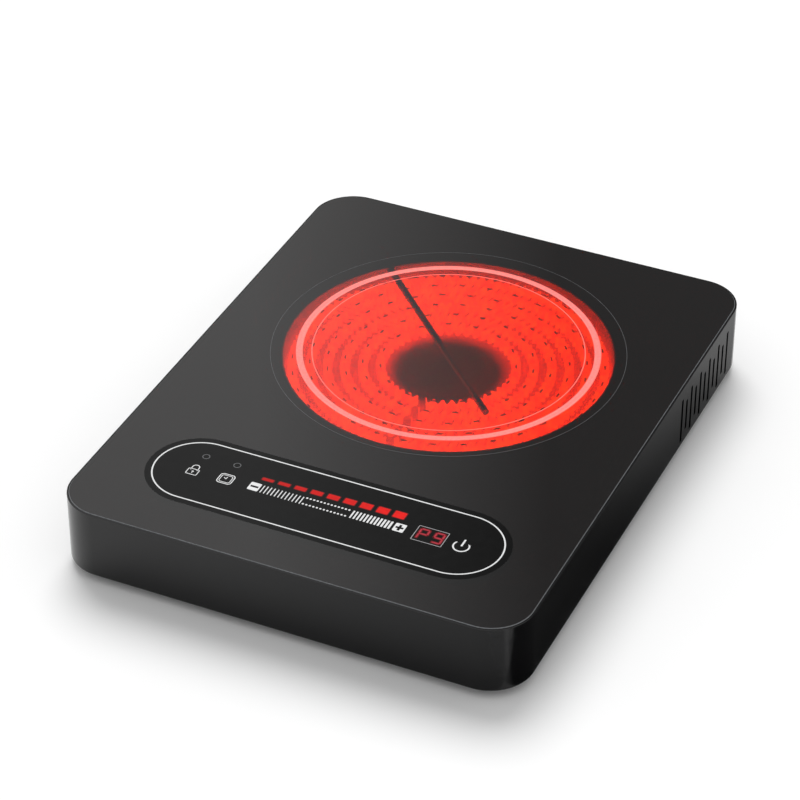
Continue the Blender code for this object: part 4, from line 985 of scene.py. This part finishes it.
# Moulded rubber: dead black and dull, with a faint bloom.
rubber = finish(
    "moulded_black_rubber", {"Roughness": 0.75}, colours=(spots(1.5 * MM), "#121212", "#1d1d1d"),
    relief=(spots(0.5 * MM), 0.04 * MM),
)
dress(rubber, "cord_gland")


def grow(height, factor, centre):
    """Pulls the selected face up and scales it about its own middle."""
    bpy.ops.mesh.extrude_region_move(TRANSFORM_OT_translate={"value": (0, 0, height)})
    bpy.ops.transform.resize(value=(factor, factor, 1), center_override=centre)


for corner_name in ("front_left", "front_right", "rear_left", "rear_right"):
    low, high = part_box(f"foot_{corner_name}")
    x, y = (low.x + high.x) / 2, (low.y + high.y) / 2
    radius = (high.x - low.x) / 2
    foot = post(x, y, radius, 0.0, PAD_TOP, 64)
    foot.name = f"rubber_foot_{corner_name}"
    round_rim(foot, 0.0, PAD_ROUND, 5)
    round_rim(foot, PAD_TOP, PAD_TOP_ROUND, 3)
    pick(foot, "FACE", lambda face: face.normal.z > 0.99 and face.calc_area() > PAD_FACE)
    bpy.ops.mesh.inset(thickness=radius - PAD_TOP_ROUND - STEM_RADIUS)
    centre = (x, y, PAD_TOP)
    grow(BASE_TOP + STEM_CLEAR - PAD_TOP, 1.0, centre)
    grow(BARB_STEP, BARB_FLARE, centre)
    grow(high.z - BASE_TOP - STEM_CLEAR - BARB_STEP, BARB_TIP, centre)
    close()
    settle(foot, [rubber], stands_for=[f"foot_{corner_name}"])


# ---- Base screws -------------------------------------------
# Zinc-plated pan-head screws with a cross recess, one in each corner of the bottom cover. Head and shank are
# joined, and the recess is cut into the head from below.
HEAD_TOP = BASE_LOW.z - 0.3 * MM
HEAD_ROUND = 0.75 * MM
SHANK_RADIUS = 1.4 * MM
SHANK_IN_HEAD = 0.3 * MM
SHANK_SHORT = 0.6 * MM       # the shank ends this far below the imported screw's top
RECESS = (2.8 * MM, 0.75 * MM, 1.8 * MM)

# Zinc plate: silvery, slightly blue and cloudy.
zinc = finish(
    "zinc_plated_steel", {"Metallic": 1.0}, colours=(spots(0.8 * MM), "#9a9da0", "#b9bcbf"),
    roughness=(spots(0.8 * MM), 0.25, 0.4),
)

for number in range(1, 5):
    low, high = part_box(f"base_screw_{number}")
    x, y = (low.x + high.x) / 2, (low.y + high.y) / 2
    screw = post(x, y, (high.x - low.x) / 2, low.z, HEAD_TOP, 48)
    screw.name = f"pan_head_screw_{number}"
    round_rim(screw, low.z, HEAD_ROUND, 4)
    shank = post(x, y, SHANK_RADIUS, HEAD_TOP - SHANK_IN_HEAD, high.z - SHANK_SHORT, 24)
    carve(screw, shank, "UNION")
    for turn in (0, math.pi / 2):
        carve(screw, block("recess", RECESS, (x, y, low.z), turn))
    settle(screw, [zinc], stands_for=[f"base_screw_{number}"])


# ---- Floor and tent ----------------------------------------
# A pale seamless floor in a white tent, with a broad soft key light from the rear left. The tent is a dome
# that only the camera, reflections and glass see; the world gives its light.
FLOOR_SIZE = 24
DOME_RADIUS = 14.0
TENT_LIGHT = 0.63
TENT_LOOK = 1.05
KEY_LIGHT = 1.85
KEY_SOFTNESS = 38
KEY_DIRECTION = (0.27, -0.50, -0.80)

# Studio floor: even, matt and nearly white. It is clear from behind, so views from below see the underside.
floor_pale = finish(
    "pale_studio_floor", {"Roughness": 0.9, "Specular IOR Level": 0.2},
    colours=(spots(400 * MM), "#f8f8f8", "#fbfbfb"),
)
tree = floor_pale.node_tree
behind = tree.nodes.new("ShaderNodeNewGeometry").outputs["Backfacing"]
clear = tree.nodes.new("ShaderNodeBsdfTransparent").outputs[0]
one_way = add(tree, "ShaderNodeMixShader", {0: behind, 1: tree.nodes["Principled BSDF"].outputs[0], 2: clear})
tree.links.new(one_way.outputs[0], tree.nodes["Material Output"].inputs["Surface"])

bpy.ops.mesh.primitive_plane_add(size=FLOOR_SIZE, location=(0, 0, 0))
floor = named("floor")
floor.data.materials.append(floor_pale)

world = bpy.data.worlds.new("studio")
bpy.context.scene.world = world
world.use_nodes = True
world.node_tree.nodes["Background"].inputs["Color"].default_value = (1.0, 1.0, 1.0, 1.0)
world.node_tree.nodes["Background"].inputs["Strength"].default_value = TENT_LIGHT
bpy.context.scene.view_settings.view_transform = "Standard"


def hide_from(card, *sights):
    """Keeps a piece out of every kind of sight that is named."""
    for sight in sights:
        setattr(card, "visible_" + sight, False)


# White tent: an even glow with no texture, as a lit cloth far away shows.
tent_white = bpy.data.materials.new("white_tent")
tent_white.use_nodes = True
tree = tent_white.node_tree
tree.nodes.clear()
glow = add(tree, "ShaderNodeEmission", {"Strength": TENT_LOOK}).outputs[0]
tree.links.new(glow, tree.nodes.new("ShaderNodeOutputMaterial").inputs["Surface"])
tent_white.cycles.emission_sampling = "NONE"

bpy.ops.mesh.primitive_uv_sphere_add(segments=48, ring_count=24, radius=DOME_RADIUS)
dome = named("white_tent")
dome.data.materials.append(tent_white)
hide_from(dome, "diffuse", "volume_scatter", "shadow")

key = bpy.data.objects.new("key_light", bpy.data.lights.new("key_light", "SUN"))
key.data.energy = KEY_LIGHT
key.data.angle = math.radians(KEY_SOFTNESS)
key.rotation_euler = Vector(KEY_DIRECTION).to_track_quat("-Z", "Y").to_euler()
key.visible_glossy = False
bpy.context.scene.collection.objects.link(key)


# ---- Flags -------------------------------------------------
# Black cards that only reflections see. They shade the glass towards its right rear, and the front and right
# walls of the case; the two wall cards lie on the floor and end at the case's round front right corner.
RIGHT_SIDE = CASE_HIGH.x
FRONT_SIDE = CASE_LOW.y
CARD_HEIGHT = 0.8 * MM       # over the floor
REAR_CARD, REAR_CARD_PLACE = (3.0, 2.6), (0.76, 1.2, 1.3)
RIGHT_CARD, RIGHT_CARD_PLACE = (0.5, 0.9), (RIGHT_SIDE + 0.252, 0.02, CARD_HEIGHT)
FRONT_CARD, FRONT_CARD_PLACE = (0.5, 0.25), (0, FRONT_SIDE - 0.1255, CARD_HEIGHT)
CARD_CORNER = (RIGHT_SIDE - 7.7 * MM, FRONT_SIDE + 7.7 * MM, 0)


def flag(name, size, place, shade, turn=(0, 0, 0), ease="LINEAR", cut=None):
    """A black card that fades along an axis.

    shade is (axis, start, end, darkness at start, darkness at end); cut is (point, direction, softness) and
    leaves the card on one side of a line only.
    """
    bpy.ops.mesh.primitive_plane_add(size=1, location=place, rotation=turn)
    bpy.context.object.scale = (*size, 1)
    card = named(name)
    material = bpy.data.materials.new(name)
    material.use_nodes = True
    tree = material.node_tree
    tree.nodes.clear()
    spot = tree.nodes.new("ShaderNodeTexCoord").outputs["Object"]
    axis, start, end, dark_start, dark_end = shade
    along = add(tree, "ShaderNodeSeparateXYZ", {0: spot}).outputs[axis]
    dark = add(tree, "ShaderNodeMapRange", {
        "Value": along, "From Min": start, "From Max": end, "To Min": dark_start, "To Max": dark_end,
    }, interpolation_type=ease).outputs["Result"]
    if cut:
        point, direction, soft = cut
        arm = add(tree, "ShaderNodeVectorMath", {0: spot, 1: point}, operation="SUBTRACT").outputs[0]
        far = add(tree, "ShaderNodeVectorMath", {0: arm, 1: direction}, operation="DOT_PRODUCT")
        past_cut = {"Value": far.outputs["Value"], "From Min": -soft, "From Max": soft}
        inside = add(tree, "ShaderNodeMapRange", past_cut).outputs["Result"]
        dark = add(tree, "ShaderNodeMath", {0: dark, 1: inside}, operation="MULTIPLY").outputs[0]
    clear = tree.nodes.new("ShaderNodeBsdfTransparent").outputs[0]
    black = add(tree, "ShaderNodeEmission", {"Strength": 0.0}).outputs[0]
    blend = add(tree, "ShaderNodeMixShader", {0: dark, 1: clear, 2: black})
    tree.links.new(blend.outputs[0], tree.nodes.new("ShaderNodeOutputMaterial").inputs["Surface"])
    card.data.materials.append(material)
    hide_from(card, "camera", "diffuse", "transmission", "volume_scatter", "shadow")


flag("rear_flag", REAR_CARD, REAR_CARD_PLACE, ("X", -0.74, -0.38, 0.0, 0.72), turn=(math.pi / 2, 0, 0))
flag(
    "right_flag", RIGHT_CARD, RIGHT_CARD_PLACE, ("Y", -0.05, 0.30, 0.955, 0.38),
    ease="SMOOTHSTEP", cut=(CARD_CORNER, (0.41, 0.91, 0.0), 6 * MM),
)
flag(
    "front_flag", FRONT_CARD, FRONT_CARD_PLACE, ("X", -0.15, 0.10, 0.0, 0.42),
    cut=(CARD_CORNER, (-0.55, -0.83, 0.0), 4 * MM),
)
